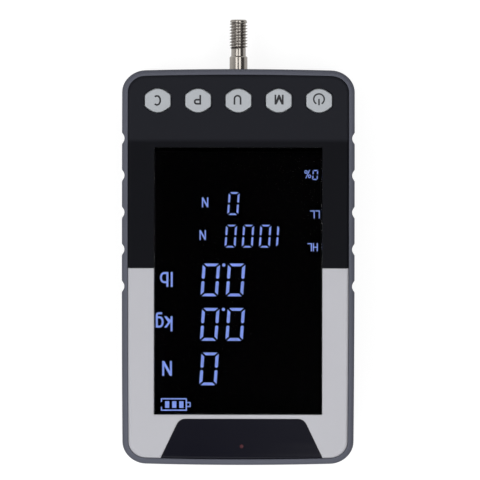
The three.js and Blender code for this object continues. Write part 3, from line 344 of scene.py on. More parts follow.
def grain_group():
    """Shader group for a moulded, painted or rubbed surface: a fine relief and a cloudy tone."""
    tree = bpy.data.node_groups.new("Surface grain", "ShaderNodeTree")
    for way, names in (("INPUT", ("Grains", "Clouds")), ("OUTPUT", ("Height", "Tone"))):
        for name in names:
            tree.interface.new_socket(name, in_out=way, socket_type="NodeSocketFloat")
    given = tree.nodes.new("NodeGroupInput").outputs
    out = tree.nodes.new("NodeGroupOutput").inputs
    place = add(tree, "ShaderNodeTexCoord").outputs["Object"]
    grain, clouds = [
        output(tree, "ShaderNodeTexNoise", Vector=place, Scale=given[name], Detail=detail)
        for name, detail in (("Grains", 3.0), ("Clouds", 4.0))]
    tree.links.new(grain, out["Height"])
    tree.links.new(output(tree, "ShaderNodeMapRange", clouds, 0.3, 0.7), out["Tone"])
    return tree


surface_grain = grain_group()


def finish(name, levels, roughness, grain=(2500, 0.01), clouds=(60, 0.07), shine=0.5, **others):
    """Material whose colour and gloss drift softly over a relief, which is (grains a metre, depth);
    clouds are (count a metre, share of the colour)."""
    material = bpy.data.materials.new(name)
    material.use_nodes = True
    tree = material.node_tree
    shader = tree.nodes["Principled BSDF"].inputs
    for key, value in {"Specular IOR Level": shine, **others}.items():
        shader[key.replace("_", " ")].default_value = value
    texture = add(tree, "ShaderNodeGroup", node_tree=surface_grain)
    texture.inputs["Grains"].default_value = grain[0]
    texture.inputs["Clouds"].default_value = clouds[0]
    tone, height = texture.outputs["Tone"], texture.outputs["Height"]
    tint = add(tree, "ShaderNodeValToRGB", tone)
    for stop, share in zip(tint.color_ramp.elements, (1 - clouds[1], 1 + clouds[1])):
        stop.color = (*[min(1.0, c * share) for c in srgb(*levels)[:3]], 1)
    gloss = output(tree, "ShaderNodeMapRange", tone, 0, 1, roughness * 0.92, roughness * 1.08)
    relief = output(tree, "ShaderNodeBump", Height=height, Distance=grain[1] * MM)
    tree.links.new(tint.outputs[0], shader["Base Color"])
    tree.links.new(gloss, shader["Roughness"])
    tree.links.new(relief, shader["Normal"])
    return material


def fitted(piece, material, slot, *nodes, body="case"):
    """Gives a finished piece its material, the body it rides on and the nodes it stands for."""
    piece.data.materials.clear()
    piece.data.materials.append(material)
    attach(piece, body)
    if nodes:
        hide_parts(*nodes)


def shaft_port(end):
    """Tool for the hole that the shaft passes, widened at the outside of the case."""
    lip = flared(PORT_RADIUS, end - 0.1, 0.5, 17.19, 90, 4)
    profile = [(PORT_RADIUS, 50), (PORT_RADIUS, end - 0.6), *lip, (PORT_RADIUS + 0.5, end + 2)]
    return turned("port", profile, (0, 0, PARTING), 48, lying=True)


def rear_cover():
    shell = [case_ring(i, h) for i, h in round_edge(COVER_INSET, 0, 2.0, rising=False)]
    shell += [case_ring(COVER_INSET, PARTING), case_ring(CAVITY_INSET, PARTING)]
    cover = loft("rear_shell", [*shell, case_ring(CAVITY_INSET, BACK_WALL)], "strips")
    shaped(cover, columns(POSTS, (POST_RADIUS, 2), (POST_RADIUS, PARTING)), "UNION")
    sinks = columns(POSTS, (3.2, -1), (3.1, 0), (2.8, 0.3), (2.8, 8), (1.8, 8), (1.8, 18), sides=32)
    holes = columns(INSERTS, (4.4, -1), (4.3, 0), (4.1, 0.2), (4.1, 4))
    recess = [(0.3, -1), (0.25, 0), (0.1, 0.15), (0.1, 0.4)]
    label_place = block((-21, 21), (-54, -34), recess, 1.5, steps=8)
    return shaped(cover, [*sinks, *holes, label_place, shaft_port(HALF_LENGTH - COVER_INSET)])


dark_back = finish("dark textured plastic", (30, 31, 35), 0.5, (1800, 0.02), (50, 0.08), 0.35)
fitted(smoothed(rear_cover()), dark_back, "dark_plastic", "rear_cover")


# Front cover: the front half of the case, moulded in the same dark ABS. Its face falls away under
# the keys, where its colour is painted lighter as painted light for the light that the tilted face
# catches, and it is recessed for the window and the trim.
KEYS = [("clear", -26.68), ("peak", -13.34), ("unit", 0.0), ("mode", 13.34), ("power", 26.68)]
KEY_Y = 55.0
WINDOW = ((-27.8, 27.8), (-48.8, 39.55))
OPENING = ((-27.3, 27.3), (-48.3, 38.05))
WINDOW_CORNER = 0.35
FACE_INNER, POST_TOP, TRIM_FLOOR = 31.4, 31.9, 33.0
PIPE = (1.2, -59.3)
BOARD_POSTS = [(x, y) for x in (30.9, -30.9) for y in (32.05, -46)]
BOARD_UNDER, BOARD_TOP = 24.0, 25.6


def rounded_polygon(corners, radii, by, steps):
    """Outline of a polygon grown by a length, with round corners, or sharp ones for a radius of 0."""
    points = []
    for i, (corner, radius) in enumerate(zip(corners, radii)):
        here = Vector(corner)
        before = (Vector(corners[i - 1]) - here).normalized()
        after = (Vector(corners[(i + 1) % len(corners)]) - here).normalized()
        half = before.angle(after) / 2
        inwards = (before + after).normalized() / math.sin(half)
        if not radius:
            points.append(tuple(here - inwards * by))
            continue
        centre = here + inwards * radius
        first = (here + before * radius / math.tan(half) - centre) * (radius + by) / radius
        (cx, cy), (fx, fy) = centre, first
        for turn in spread(0, math.pi - 2 * half, steps):
            c, s = math.cos(turn), math.sin(turn)
            points.append((cx + fx * c - fy * s, cy + fx * s + fy * c))
    return points


def key_outline(by):
    """Outline of a key about its own middle: a hexagon with two rounded points."""
    corners = [(0, -4.8), (4.22, -1.9), (4.22, 1.9), (0, 4.8), (-4.22, 1.9), (-4.22, -1.9)]
    return rounded_polygon(corners, [4.4, 1.0, 1.0] * 2, by, 6)


def key_ring(x, by, height, sloped=True):
    return [(x + px, KEY_Y + py, height - fall(KEY_Y + py, sloped)) for px, py in key_outline(by)]


def key_hole(x):
    mouth = [key_ring(x, by, height) for by, height in flared(0.3, FRONT, 0.25)]
    return loft("key_hole", [key_ring(x, 0.3, 30, False), *mouth, key_ring(x, 0.6, FRONT + 1)])


def window_pocket(floor, flare):
    """Tool for the window's recess, whose upper edge is rounded."""
    profile = [(0, floor), *flared(0, FRONT, flare), (flare, FRONT + 1)]
    return block(*WINDOW, profile, WINDOW_CORNER)


def socket_mouth(*levels):
    """Tool for the charging socket's opening in the foot, from (by, y) levels."""
    rings = []
    for by, y in levels:
        outline = rounded_box((-4.5, 4.5), (20.8, 24.0), by, 1.5 + by, 6)
        rings.append([(x, y, z) for x, z in outline])
    return loft("socket_mouth", rings)


def rounded_front():
    """Rings of the rounded edge round the front face."""
    return [case_ring(i, h, True) for i, h in round_edge(COVER_INSET, FRONT, 0.9, rising=True)]


def front_cover():
    shell = [case_ring(CAVITY_INSET, FACE_INNER), case_ring(CAVITY_INSET, PARTING)]
    shell += [case_ring(COVER_INSET, PARTING), *rounded_front()]
    cover = loft("front_shell", shell, "strips")
    posts = columns(POSTS, (POST_RADIUS, PARTING), (POST_RADIUS, POST_TOP))
    shaped(cover, [*posts, *columns(BOARD_POSTS, (2.3, BOARD_TOP), (2.3, POST_TOP))], "UNION")
    trim_place = block((-50, 50), (-80, -0.3), [(0, TRIM_FLOOR), (0, 40)])
    opening = block(*OPENING, [(0, 30), (0, 34)], WINDOW_CORNER)
    pipe_hole = columns([PIPE], (1.0, 30), (1.0, 36), sides=32)
    pilots = columns(POSTS, (1.8, 16), (1.8, 23), sides=24)
    pilots += columns(BOARD_POSTS, (1.3, 25), (1.3, 29.3), sides=24)
    ports = [shaft_port(HALF_LENGTH - COVER_INSET), socket_mouth((0.3, -66), (0.3, -60))]
    return shaped(cover, [trim_place, window_pocket(floor=32.85, flare=0.15), opening, *pipe_hole,
                          *pilots, *[key_hole(x) for _, x in KEYS], *ports])


def along_y(tree):
    """Place of a shaded point along Y, in metres."""
    place = add(tree, "ShaderNodeTexCoord").outputs["Object"]
    return add(tree, "ShaderNodeSeparateXYZ", place).outputs["Y"]


def recoloured(material, mask, levels):
    """Changes a material to another colour where a mask is 1."""
    tree = material.node_tree
    base = tree.nodes["Principled BSDF"].inputs["Base Color"]
    mixed = add(tree, "ShaderNodeMix", mask, data_type="RGBA")
    tree.links.new(base.links[0].from_socket, mixed.inputs[6])
    mixed.inputs[7].default_value = srgb(*levels)
    tree.links.new(mixed.outputs[2], base)


dark_face = finish("dark front plastic", (10, 11, 17), 0.4, (1500, 0.004), (45, 0.05), 0.06)
# Painted light: past the bend the colour turns lighter, standing in for the light and sheen that the
# tilted face under the keys catches.
slope_painted_light = output(dark_face.node_tree, "ShaderNodeMapRange", along_y(dark_face.node_tree),
                  (BEND_Y - 0.5) * MM, (BEND_Y + 0.8) * MM)
recoloured(dark_face, slope_painted_light, (29, 30, 36))
fitted(smoothed(front_cover()), dark_face, "dark_plastic", "front_cover")


# Silver trim: a U-shaped plate of silver-painted ABS, glued into a recess round the lower half of
# the display. Its edges are rounded, so they draw a thin light line beside the window.
def plate_body(levels):
    """Tool with the dark plate's outline, from (by, height) levels; it runs out over the foot."""
    middle, half_foot, half_top, side_rise = 1.2, 27.8, 20.5, 15.2
    half_foot += (half_foot - half_top) / side_rise
    corners = [(middle - half_foot, -66.5), (middle + half_foot, -66.5),
               (middle + half_top, -50.3), (middle - half_top, -50.3)]
    return loft("plate_body", [raised(rounded_polygon(corners, [0, 0, 3.0, 3.0], by, 8), height)
                               for by, height in levels])


def front_blank(name):
    return loft(name, [case_ring(COVER_INSET, TRIM_FLOOR), *rounded_front()], "strips")


def silver_trim():
    profile = [(60, 30), (60, 40), (-0.6, 40), (-0.6, 34), (-0.48, 33.94), (-0.4, 33.8), (-0.4, 30)]
    upper = loft("upper_half", [[(x, y, z) for y, z in profile] for x in (-50, 50)])
    plate = plate_body([(0.1, 32), (0.1, FRONT - 0.2), (0.15, FRONT - 0.08), (0.3, FRONT + 0.02),
                        (0.3, FRONT + 1)])
    return shaped(front_blank("silver_trim"), [upper, window_pocket(floor=30, flare=0.3), plate])


silver = finish("silver paint", (180, 180, 186), 0.42, (3500, 0.003), (25, 0.03), 0.4, Metallic=0.1)
fitted(smoothed(silver_trim()), silver, "silver_paint", "silver_fascia")


# Dark plate: a glossy black moulding let into the silver trim at the foot, bare but for the hole
# of the charging lamp.
def dark_plate():
    plug = plate_body([(0, 30), (0, FRONT - 0.2), (-0.06, FRONT - 0.06), (-0.2, FRONT),
                       (-0.3, FRONT + 0.05)])
    plate = shaped(front_blank("dark_plate"), [plug], "INTERSECT")
    return shaped(plate, columns([PIPE], (1.0, 30), (1.0, 33.87), (0.66, 33.9), (0.66, 36), sides=32))


gloss = finish("glossy black plastic", (19, 19, 28), 0.2, (900, 0.001), (30, 0.05), 0.08)
fitted(smoothed(dark_plate()), gloss, "gloss_black", "nameplate")


# Charging lamp's light pipe: a clear red rod that carries the light of the board's lamp to the
# face of the dark plate. It is held by a flange under the front cover.
PIPE_PROFILE = [(0, 26.8), (0.9, 26.8), (0.9, 30.3), (1.8, 30.3), (1.8, 31.1), (0.9, 31.1),
                (0.9, 33.65), (0.82, 33.75), (0.6, 33.81), (0, 33.85)]
red_lens = finish("red lens", (75, 37, 44), 0.2, (1200, 0.002), (900, 0.2), 0.12)
light_pipe = smoothed(turned("red_light_pipe", PIPE_PROFILE, (*PIPE, 0), 32))
fitted(light_pipe, red_lens, "red_lens", "light_pipe")


# Grip band: a grey rubber band stretched round the case over the joint of the two covers, with
# five round notches down each side and openings for the shaft and the charging plug.
NOTCHES = [HALF_LENGTH - 23 - 12.23 * i for i in range(5)]
NOTCH_RADIUS, NOTCH_AXIS_OUT, LIP_BLEND = 2.2, 1.35, 0.5


def notch_depth(y):
    """How far a notch cuts into the side at a place, with softened lips."""
    nearest = min(abs(y - notch) for notch in NOTCHES)
    if nearest >= NOTCH_RADIUS:
        return 0.0
    depth = math.sqrt(NOTCH_RADIUS ** 2 - nearest ** 2) - NOTCH_AXIS_OUT
    blend = max(LIP_BLEND - abs(depth), 0.0) / LIP_BLEND
    return max(depth, 0.0) + blend ** 2 * LIP_BLEND / 4


def band_ring(inset, height, sloped):
    stations = {*spread(-55, 56, 38), *[n + d for n in NOTCHES for d in spread(-2.3, 2.3, 24)]}
    ring = []
    for x, y in case_outline(inset, sorted(stations)):
        limit = HALF_WIDTH - drawn_in(y) - notch_depth(y)
        if abs(y) < 50 and abs(x) > limit:
            x = math.copysign(limit, x)
        ring.append((x, y, height - fall(y, sloped)))
    return ring


def grip_band():
    low = [(1.9, 4.0), *round_edge(0, 4.0, 0.8, rising=False, steps=5)]
    high = [*round_edge(0, 33.5, 1.7, rising=True, steps=9), (1.9, 33.4)]
    band = loft("rubber_band", [band_ring(inset, height, levels is high)
                                for levels in (low, high) for inset, height in levels], "loop")
    plug_room = socket_mouth((2.2, -67), (2.2, -65.5), (1.7, -65.2), (1.6, -64.9), (1.6, -60))
    return shaped(band, [plug_room, shaft_port(HALF_LENGTH)])


rubber = finish("grey rubber", (90, 92, 103), 0.62, (2200, 0.03), (35, 0.05), 0.12)
fitted(smoothed(grip_band(), 40), rubber, "bumper_rubber", "grip_bumper")


# Keys: five grey ABS caps with a bevelled rim, each held in by a flange under the front cover and
# standing on the plunger of its switch.
KEY_RISE = 0.6
key_grey = finish("grey key plastic", (174, 178, 183), 0.5, (2600, 0.006), (90, 0.025), 0.3)
rim = round_edge(0, FRONT + KEY_RISE, 0.28, rising=True, steps=6)
for name, x in KEYS:
    rings = [key_ring(x, by, h, False) for by, h in ((0.9, 30.1), (0.9, 31.1), (0, 31.1))]
    cap = smoothed(loft(name + "_cap", [*rings, *[key_ring(x, -by, h) for by, h in rim]]))
    fitted(cap, key_grey, "key_grey", name + "_key", body=name + "_button")


# Key legends: dark ink printed on the caps, turned to be read from the shaft's side.
# Each is set in strokes of one width.
def stroke(path, width):
    """Even line along a path, as faces that meet at its bends."""
    path = [Vector(point) for point in path]
    sides = []
    for i, here in enumerate(path):
        into = (here - path[i - 1] if i else path[1] - here).normalized()
        away = (path[i + 1] - here).normalized() if i + 1 < len(path) else into
        across = (into + away).normalized().orthogonal()
        across *= width / 2 / across.dot(into.orthogonal())
        sides.append((here + across, here - across))
    return [(a[0], b[0], b[1], a[1]) for a, b in zip(sides, sides[1:])]


def bowl(west, east, foot, top, bar, share=0.33):
    """Rounded half of a letter, open towards west; east may lie on either side of it."""
    low = bar / 2
    right, turn = east - math.copysign(low, east - west), west + share * (east - west)
    angles = (80, -80) if east > west else (100, 260)
    arc = bow(turn, (foot + top) / 2, abs(right - turn), (top - foot) / 2 - low, *angles)
    upper, lower = [[(x, y) for x in (west, turn)] for y in (top - low, foot + low)]
    return stroke([*upper, *arc, *reversed(lower)], bar)


def glyph(letter, width, height, bar):
    """Outlines of a letter as it is read, from the lower left corner of its box."""
    low, mid, far, lower = bar / 2, width / 2, width - bar, 0.75 * height
    right = width - low
    stem = [(0, 0), (bar, 0), (bar, height), (0, height)]
    if letter == "l":
        return [stem]
    if letter == "L":
        return stroke([(low, height), (low, low), (width, low)], bar)
    if letter == "H":
        bridge = stroke([(bar, height / 2), (far, height / 2)], bar)
        return [stem, [(x + far, y) for x, y in stem], *bridge]
    if letter == "N":
        half = [(0, 0), (bar, 0), (bar, height - 2.4 * bar), (far, 0), (width, 0)]
        return [half + [(width - x, height - y) for x, y in half]]
    if letter == "M":
        valley = 2.6 * bar
        half = [(1.2 * bar, height), (0, height), (0, 0), (bar, 0), (bar, height - valley),
                (mid - 0.4 * bar, 0)]
        return [[(mid, valley), *half, *[(width - x, y) for x, y in reversed(half)]]]
    if letter == "U":
        arc = bow(mid, mid, mid - low, mid - low, 180, 360)
        return stroke([(low, height), *arc, (right, height)], bar)
    if letter == "C":
        return stroke(bow(mid, height / 2, mid - low, height / 2 - low, 50, 310, 20), bar)
    if letter == "P":
        return [stem, *bowl(bar, width, 0.4 * height, height, bar, 0.5)]
    if letter == "b":
        return [stem, *bowl(bar, width, 0, lower, bar)]
    if letter == "g":
        drop, turn = 0.27 * height, 0.9 * bar
        hook = [(right, lower), *bow(right - turn, turn + low - drop, turn, turn, 0, -80, 6),
                (0.2 * width, low - drop)]
        return [*bowl(far, 0, 0, lower, bar), *stroke(hook, bar)]
    if letter == "k":
        start, elbow = 0.22 * lower, width - 1.25 * bar
        rise = (lower - start) / far
        arm = [(bar, start), (width, lower), (elbow, lower), (bar, start + 1.25 * bar * rise)]
        near, end = [(x, start + (x - bar) * rise) for x in (1.3 * bar, 2.25 * bar)]
        return [stem, arm, [near, (elbow, 0), (width, 0), end]]
    percent = stroke([(0.22 * width, 0), (0.78 * width, height)], bar)
    for x, y in ((0.24, 0.76), (0.76, 0.24)):
        percent += stroke(bow(x * width, y * height, 0.17 * width, 0.17 * height, 0, 360, 13), bar)
    return percent


def sheet_of(name, outlines, height):
    """Printed shapes from outlines in X and Y, a hair over the height of the surface under them."""
    points, faces = [], []
    for outline in outlines:
        if sum(a[0] * b[1] - b[0] * a[1] for a, b in zip(outline, outline[1:] + outline[:1])) < 0:
            outline = outline[::-1]
        faces.append(tuple(range(len(points), len(points) + len(outline))))
        points += [(x * MM, y * MM, (height(y) + 0.012) * MM) for x, y in outline]
    return meshed(name, points, faces)


def printed(letters, bar):
    """Outlines of letters turned upside down, each given with its corner, width and height."""
    return [[(x - px, y - py) for px, py in outline]
            for letter, x, y, *size in letters for outline in glyph(letter, *size, bar)]


def key_top(y):
    return FRONT + KEY_RISE - fall(y)


ink = finish("dark ink", (44, 44, 48), 0.5, (3000, 0.002), (300, 0.1), 0.2)
letters = {"clear": ("C", -25.55, 56.8, 2.75, 3.55), "peak": ("P", -12.34, 56.83, 2.4, 3.2),
           "unit": ("U", 1.0, 56.9, 2.6, 3.25), "mode": ("M", 14.93, 56.95, 3.0, 3.25)}
legends = {name: printed([letter], 0.57) for name, letter in letters.items()}
legends["power"] = [*stroke(bow(26.62, 55.5, 1.75, 1.75, -60, 240, 25), 0.5),
                    *stroke([(26.62, 53.5), (26.62, 55.6)], 0.5)]
for name, outlines in legends.items():
    fitted(sheet_of(name + "_legend", outlines, key_top), ink, "black_plastic", body=name + "_button")


# Display: a dark liquid crystal panel lit from behind, whose lit segments show blue. They are
# drawn on its glass, to be read from the shaft's side.
GLASS = 30.9


def digit(corner, size, bars, gap, segments, slant=0.07):
    """Outlines of a seven segment digit from its lower left corner as it is read; bars are
    (upright, level)."""
    (width, height), (side, level) = size, bars
    half = height / 2
    foot = half + 0.25 * side + 0.16

    def upright(outer, inner):
        """Upper bar at one side, whose lower end is rounded; outer and inner are its two edges."""
        return [(outer, height - gap), (inner, height - level - gap), (inner, foot + 0.3 * side),
                ((inner * 2 + outer) / 3, foot), ((inner + outer * 2) / 3, foot),
                (outer, foot + 0.3 * side)]

    across = [(gap, height), (width - gap, height), (width - side - gap, height - level),
              (side + gap, height - level)]
    shapes = {"a": across, "b": upright(width, width - side), "f": upright(0, side)}
    for name, below in (("a", "d"), ("b", "c"), ("f", "e")):
        shapes[below] = [(x, height - y) for x, y in shapes[name]]
    return [[(corner[0] - x - slant * (y - half), corner[1] - y) for x, y in shapes[letter]]
            for letter in segments]


ZERO, ONE = "abcdef", "bc"
segments = []
for size, bars, gap, row in (
        ((5.75, 10.85), (1.0, 0.92), 0.46, [
            (-6.365, 1.13, ZERO), (2.005, 1.13, ZERO), (-6.535, -13.59, ZERO),
            (1.905, -13.59, ZERO), (-6.735, -28.32, ZERO)]),
        ((3.65, 7.55), (0.64, 0.56), 0.42, [
            (0.225, 24.745, ZERO), (16.37, 13.965, ONE), (10.715, 13.965, ZERO),
            (5.04, 13.965, ZERO), (-0.64, 13.965, ZERO)]),
        ((1.8, 3.26), (0.36, 0.34), 0.16, [(26.33, 32.1, ZERO)])):
    for x, y, shape in row:
        segments += digit((x, y), size, bars, gap, shape)
segments += [bow(x, y, 0.54, 0.54, 0, 360, 17)[:-1] for x, y in ((-4.78, 0.64), (-4.88, -14.06))]
battery = [(-25.34, -44.7), (-25.34, -43.66), (-17.12, -43.66), (-17.12, -47.42), (-25.34, -47.42),
           (-25.34, -46.3)]
pole = [(-16.92, -44.9), (-15.85, -44.9), (-15.85, -46.2), (-16.92, -46.2)]
segments += stroke(battery, 0.4) + stroke(pole, 0.35)
for x in (-23.45, -21.1, -18.75):
    segments += stroke([(x, -46.65), (x, -44.45)], 1.4)
units = []
for bar, word in (
        (0.66, [("l", -21.66, -1.71, 0.78, 4.9), ("b", -23.11, -1.71, 2.8, 4.9),
                ("k", -21.71, -16.37, 2.75, 4.95), ("g", -24.64, -16.37, 2.6, 4.95),
                ("N", -21.9, -31.15, 3.2, 4.9)]),
        (0.4, [("N", -9.93, 23.0, 2.1, 3.27), ("N", -10.72, 12.18, 2.1, 3.27)]),
        (0.36, [("L", 26.98, 18.75, 1.45, 2.65), ("L", 25.28, 18.75, 1.5, 2.65),
                ("H", 26.33, 7.92, 1.65, 2.7), ("L", 24.38, 7.92, 1.5, 2.7)]),
        (0.28, [("%", 24.1, 32.15, 2.27, 2.8)])):
    units += printed(word, bar)

lit_blue = finish("lit blue segments", (72, 86, 132), 0.4, (400, 0.0), (700, 0.1), 0.0,
                  Emission_Strength=3.0)
lit = lit_blue.node_tree.nodes["Principled BSDF"].inputs
lit_blue.node_tree.links.new(lit["Base Color"].links[0].from_socket, lit["Emission Color"])
for name, outlines in (("display_digits", segments), ("display_units", units)):
    fitted(sheet_of(name, outlines, lambda y: GLASS), lit_blue, "display_black")
display_glass = finish("display glass", (2, 2, 3), 0.12, (300, 0.0), (60, 0.2), 0.02)
panel = [(0.1, 40.95, 28.7), (0, 40.95, 28.8), (0, 40.95, 29.8), (0.1, 39, 29.8), (0.1, 39, 30.7),
         (0.75, 38.9, 30.7), (0.8, 38.9, GLASS)]
panel = loft("display_panel", [raised(rounded_box((-28.2, 28.2), (-49.2, north), -by, 0.4, 5), height)
                               for by, north, height in panel])
fitted(smoothed(panel), display_glass, "display_black", "lcd_panel")


# Display window: a clear acrylic plate glued on the ledge of the front cover.
# Its edges are broken.
def copied(node, name, material, slot, bevel=0.0, body="case"):
    """Dresses a node with a merged copy of its own solid, whose edges may be broken."""
    piece = cleaned(linked(name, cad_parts[node].data.copy()), 1e-6, melting=True)
    if bevel:
        edge = piece.modifiers.new("edges", "BEVEL")
        edge.width, edge.segments, edge.limit_method = bevel * MM, 2, "ANGLE"
        edge.angle_limit = math.radians(30)
        settle(piece)
    fitted(smoothed(piece), material, slot, node, body=body)


clear = finish("clear acrylic", (255, 255, 255), 0.02, (200, 0.0), (40, 0.0), 0.2,
               Transmission_Weight=1.0, IOR=1.45)
copied("display_window", "window_plate", clear, "clear_window", 0.12)


# Measuring shaft: stainless steel turned to a thread at its end, with a relief groove under it.
# A grid is wrapped round the axis, and its radius follows the turned profile and the thread.
def new_tree(name, sizes, **others):
    """Geometry Nodes tree with named sizes, other inputs by socket kind and a material."""
    tree = bpy.data.node_groups.new(name, "GeometryNodeTree")

    def socket(title, kind, way="INPUT"):
        return tree.interface.new_socket(title, in_out=way, socket_type="NodeSocket" + kind)

    socket("Geometry", "Geometry")
    for title, size in sizes.items():
        socket(title, "Float").default_value = size
    for title, kind in {**others, "Material": "Material"}.items():
        socket(title, kind)
    socket("Geometry", "Geometry", "OUTPUT")
    return tree, tree.nodes.new("NodeGroupInput").outputs


def finished_tree(tree, given, geometry):
    whole = output(tree, "GeometryNodeRealizeInstances", geometry)
    coated = output(tree, "GeometryNodeSetMaterial", whole, Material=given["Material"])
    tree.links.new(coated, tree.nodes.new("NodeGroupOutput").inputs[0])
    return tree


def wrapped_tree(name, sides, rows, profile, lying=False, **sizes):
    """Tree that wraps a grid round an axis, upright or along Y, at the place given. The profile
    gives the place along and the radius, from the sizes, the turn (0 to 1) and the grid's own Y."""
    tree, given = new_tree(name, sizes, Place="Vector")
    grid = output(tree, "GeometryNodeMeshGrid", 1.0, 1.0, sides, rows)
    flat = add(tree, "ShaderNodeSeparateXYZ", output(tree, "GeometryNodeInputPosition")).outputs
    turn = maths("ADD", flat["X"], 0.5)
    along, radius = profile(given, turn, flat["Y"])
    angle = maths("MULTIPLY", turn, 2 * math.pi)
    across, other = [maths("MULTIPLY", radius, maths(kind, angle)) for kind in ("SINE", "COSINE")]
    rest = (along, other) if lying else (other, along)
    skin = output(tree, "ShaderNodeCombineXYZ", across, *rest)
    placed = output(tree, "ShaderNodeVectorMath", skin, given["Place"], operation="ADD")
    metres = output(tree, "ShaderNodeVectorMath", placed, operation="SCALE", Scale=MM)
    wrapped = output(tree, "GeometryNodeSetPosition", grid, Position=metres)
    closed = output(tree, "GeometryNodeMergeByDistance", wrapped, Distance=2e-6)
    return finished_tree(tree, given, closed)


def between_ends(flat_y, rows, start, end):
    """Place along between two ends, and 0 at the rows of a grid that close them but 1 between."""
    margin = 0.5 - 1.5 / rows
    along = output(flat_y.id_data, "ShaderNodeMapRange", flat_y, -margin, margin, start, end)
    return along, maths("LESS_THAN", maths("ABSOLUTE", flat_y), 0.5 - 0.5 / rows)


def thread_of(past_start, turn, pitch, root, crest, flank):
    """Radius of a thread whose flanks start and end at shares of half a pitch."""
    off = maths("PINGPONG", maths("SUBTRACT", maths("DIVIDE", past_start, pitch), turn), 0.5)
    return output(off.id_data, "ShaderNodeMapRange", off, flank[0] / 2, flank[1] / 2, root, crest)


SHAFT_SIDES, SHAFT_ROWS = 64, 480


def shaft_profile(given, turn, flat_y):
    inner, end, start, tip, radius, relief = [given[name] for name in (
        "Inner_End", "Collar_End", "Thread_Start", "Tip", "Radius", "Relief_Radius")]
    along, between = between_ends(flat_y, SHAFT_ROWS, inner, tip)
    past_start = maths("SUBTRACT", along, start)
    flank = thread_of(past_start, turn, given["Pitch"], given["Root_Radius"], radius, (0.42, 0.8))
    to_tip = maths("SUBTRACT", tip, along)
    point = maths("MINIMUM", given["Lead_Radius"], maths("ADD", relief, to_tip))
    thread = chosen(maths("LESS_THAN", to_tip, given["Lead"]),
                    maths("MINIMUM", flank, maths("ADD", relief, past_start)), point)
    bevelled_radius = maths("SUBTRACT", radius, given["Bevel"])
    falling = maths("ADD", bevelled_radius, maths("SUBTRACT", end, along))
    rising = maths("ADD", bevelled_radius, maths("SUBTRACT", along, inner))
    collar = maths("MINIMUM", maths("MINIMUM", falling, rising), radius)
    below = chosen(maths("GREATER_THAN", along, end), collar, relief)
    outer = chosen(maths("GREATER_THAN", along, start), below, thread)
    return along, maths("MULTIPLY", outer, between)


def grown_by(tree, name, part=None, **inputs):
    """Object whose mesh a Geometry Nodes tree makes, from nothing or from a part."""
    made = part or linked(name, bpy.data.meshes.new(name))
    step = made.modifiers.new(name, "NODES")
    step.node_group = tree
    for socket in tree.interface.items_tree:
        if socket.in_out == "INPUT" and socket.name in inputs:
            step[socket.identifier] = inputs[socket.name]
    return cleaned(settle(made))


def rougher_past(material, start, roughening):
    """Makes a metal rougher past a place along Y, where its thread was cut."""
    tree = material.node_tree
    gloss = tree.nodes["Principled BSDF"].inputs["Roughness"]
    cut = maths("GREATER_THAN", along_y(tree), start * MM)
    tree.links.new(maths("MULTIPLY_ADD", cut, roughening, gloss.links[0].from_socket), gloss)


steel = finish("turned steel", (148, 143, 137), 0.16, (5000, 0.002), (400, 0.06), Metallic=1.0)
rougher_past(steel, start=72.4, roughening=0.08)
shaft_tree = wrapped_tree("Threaded shaft", SHAFT_SIDES, SHAFT_ROWS, shaft_profile, lying=True,
                          Inner_End=41.4, Collar_End=70.2, Thread_Start=72.6, Tip=82.3, Radius=3.0,
                          Relief_Radius=2.45, Root_Radius=2.4, Pitch=1.0, Bevel=0.4, Lead=0.95,
                          Lead_Radius=2.8)
shaft = grown_by(shaft_tree, "threaded_shaft", Place=(0.0, 0.0, PARTING), Material=steel)
fitted(smoothed(shaft, 40), steel, "shaft_steel", "measuring_shaft", body="shaft")


# Screws: zinc-plated pan heads with a cross recess and a coarse thread that cuts its way into the
# posts. Four long ones join the covers from the back, and four short ones hold the board.
zinc = finish("zinc plate", (165, 168, 172), 0.35, (1500, 0.006), (120, 0.08), Metallic=1.0)


SCREW_SIDES, SCREW_ROWS = 28, 150


def screw_profile(given, turn, flat_y):
    head, top, shank, root, length, pitch, tip, bevel = [given[name] for name in board_screw]
    along, between = between_ends(flat_y, SCREW_ROWS, 0.0, length)
    edge = maths("ADD", maths("SUBTRACT", head, bevel), along)
    thread = thread_of(maths("SUBTRACT", along, top), turn, pitch, root, shank, (0.4, 1))
    point = maths("ADD", tip, maths("SUBTRACT", length, along))
    threaded = maths("MINIMUM", thread, maths("MINIMUM", point, shank))
    outer = chosen(maths("GREATER_THAN", along, top), maths("MINIMUM", edge, head), threaded)
    return along, maths("MULTIPLY", outer, between)


def cross_tool(x, y, height, arm, depth):
    """Tapered cross that sinks the driver's recess upwards into a head."""
    rings = []
    for rise, share in ((-0.5, 1.15), (depth, 0.6)):
        a, w = arm * share, 0.28 * arm * share
        corners = [(a, -w), (a, w), (w, w), (w, a), (-w, a), (-w, w)]
        rings.append([(x + sign * cx, y + sign * cy, height + rise)
                      for sign in (1, -1) for cx, cy in corners])
    return loft("recess", rings)


board_screw = dict(Head_Radius=1.6, Head_Height=1.1, Shank_Radius=1.0, Root_Radius=0.72, Length=6.1,
                   Pitch=0.8, Point_Radius=0.5, Bevel=0.3)
screws = wrapped_tree("Self-cutting screw", SCREW_SIDES, SCREW_ROWS, screw_profile, Head_Radius=2.5,
                      Head_Height=2.0, Shank_Radius=1.5, Root_Radius=1.1, Length=16.0, Pitch=1.3,
                      Point_Radius=0.75, Bevel=0.45)
for kind, height, places, recess, sizes in (
        ("housing", 6.0, POSTS, (1.4, 1.2), {}),
        ("board", 22.9, BOARD_POSTS, (0.9, 0.7), board_screw)):
    for i, (x, y) in enumerate(sorted(places, key=lambda place: (-place[1], -place[0])), 1):
        name = f"{kind}_screw_{i}"
        screw = grown_by(screws, name + "_body", Place=(x, y, height), Material=zinc, **sizes)
        shaped(screw, [cross_tool(x, y, height, *recess)])
        fitted(smoothed(screw, 40), zinc, "zinc_steel", name)


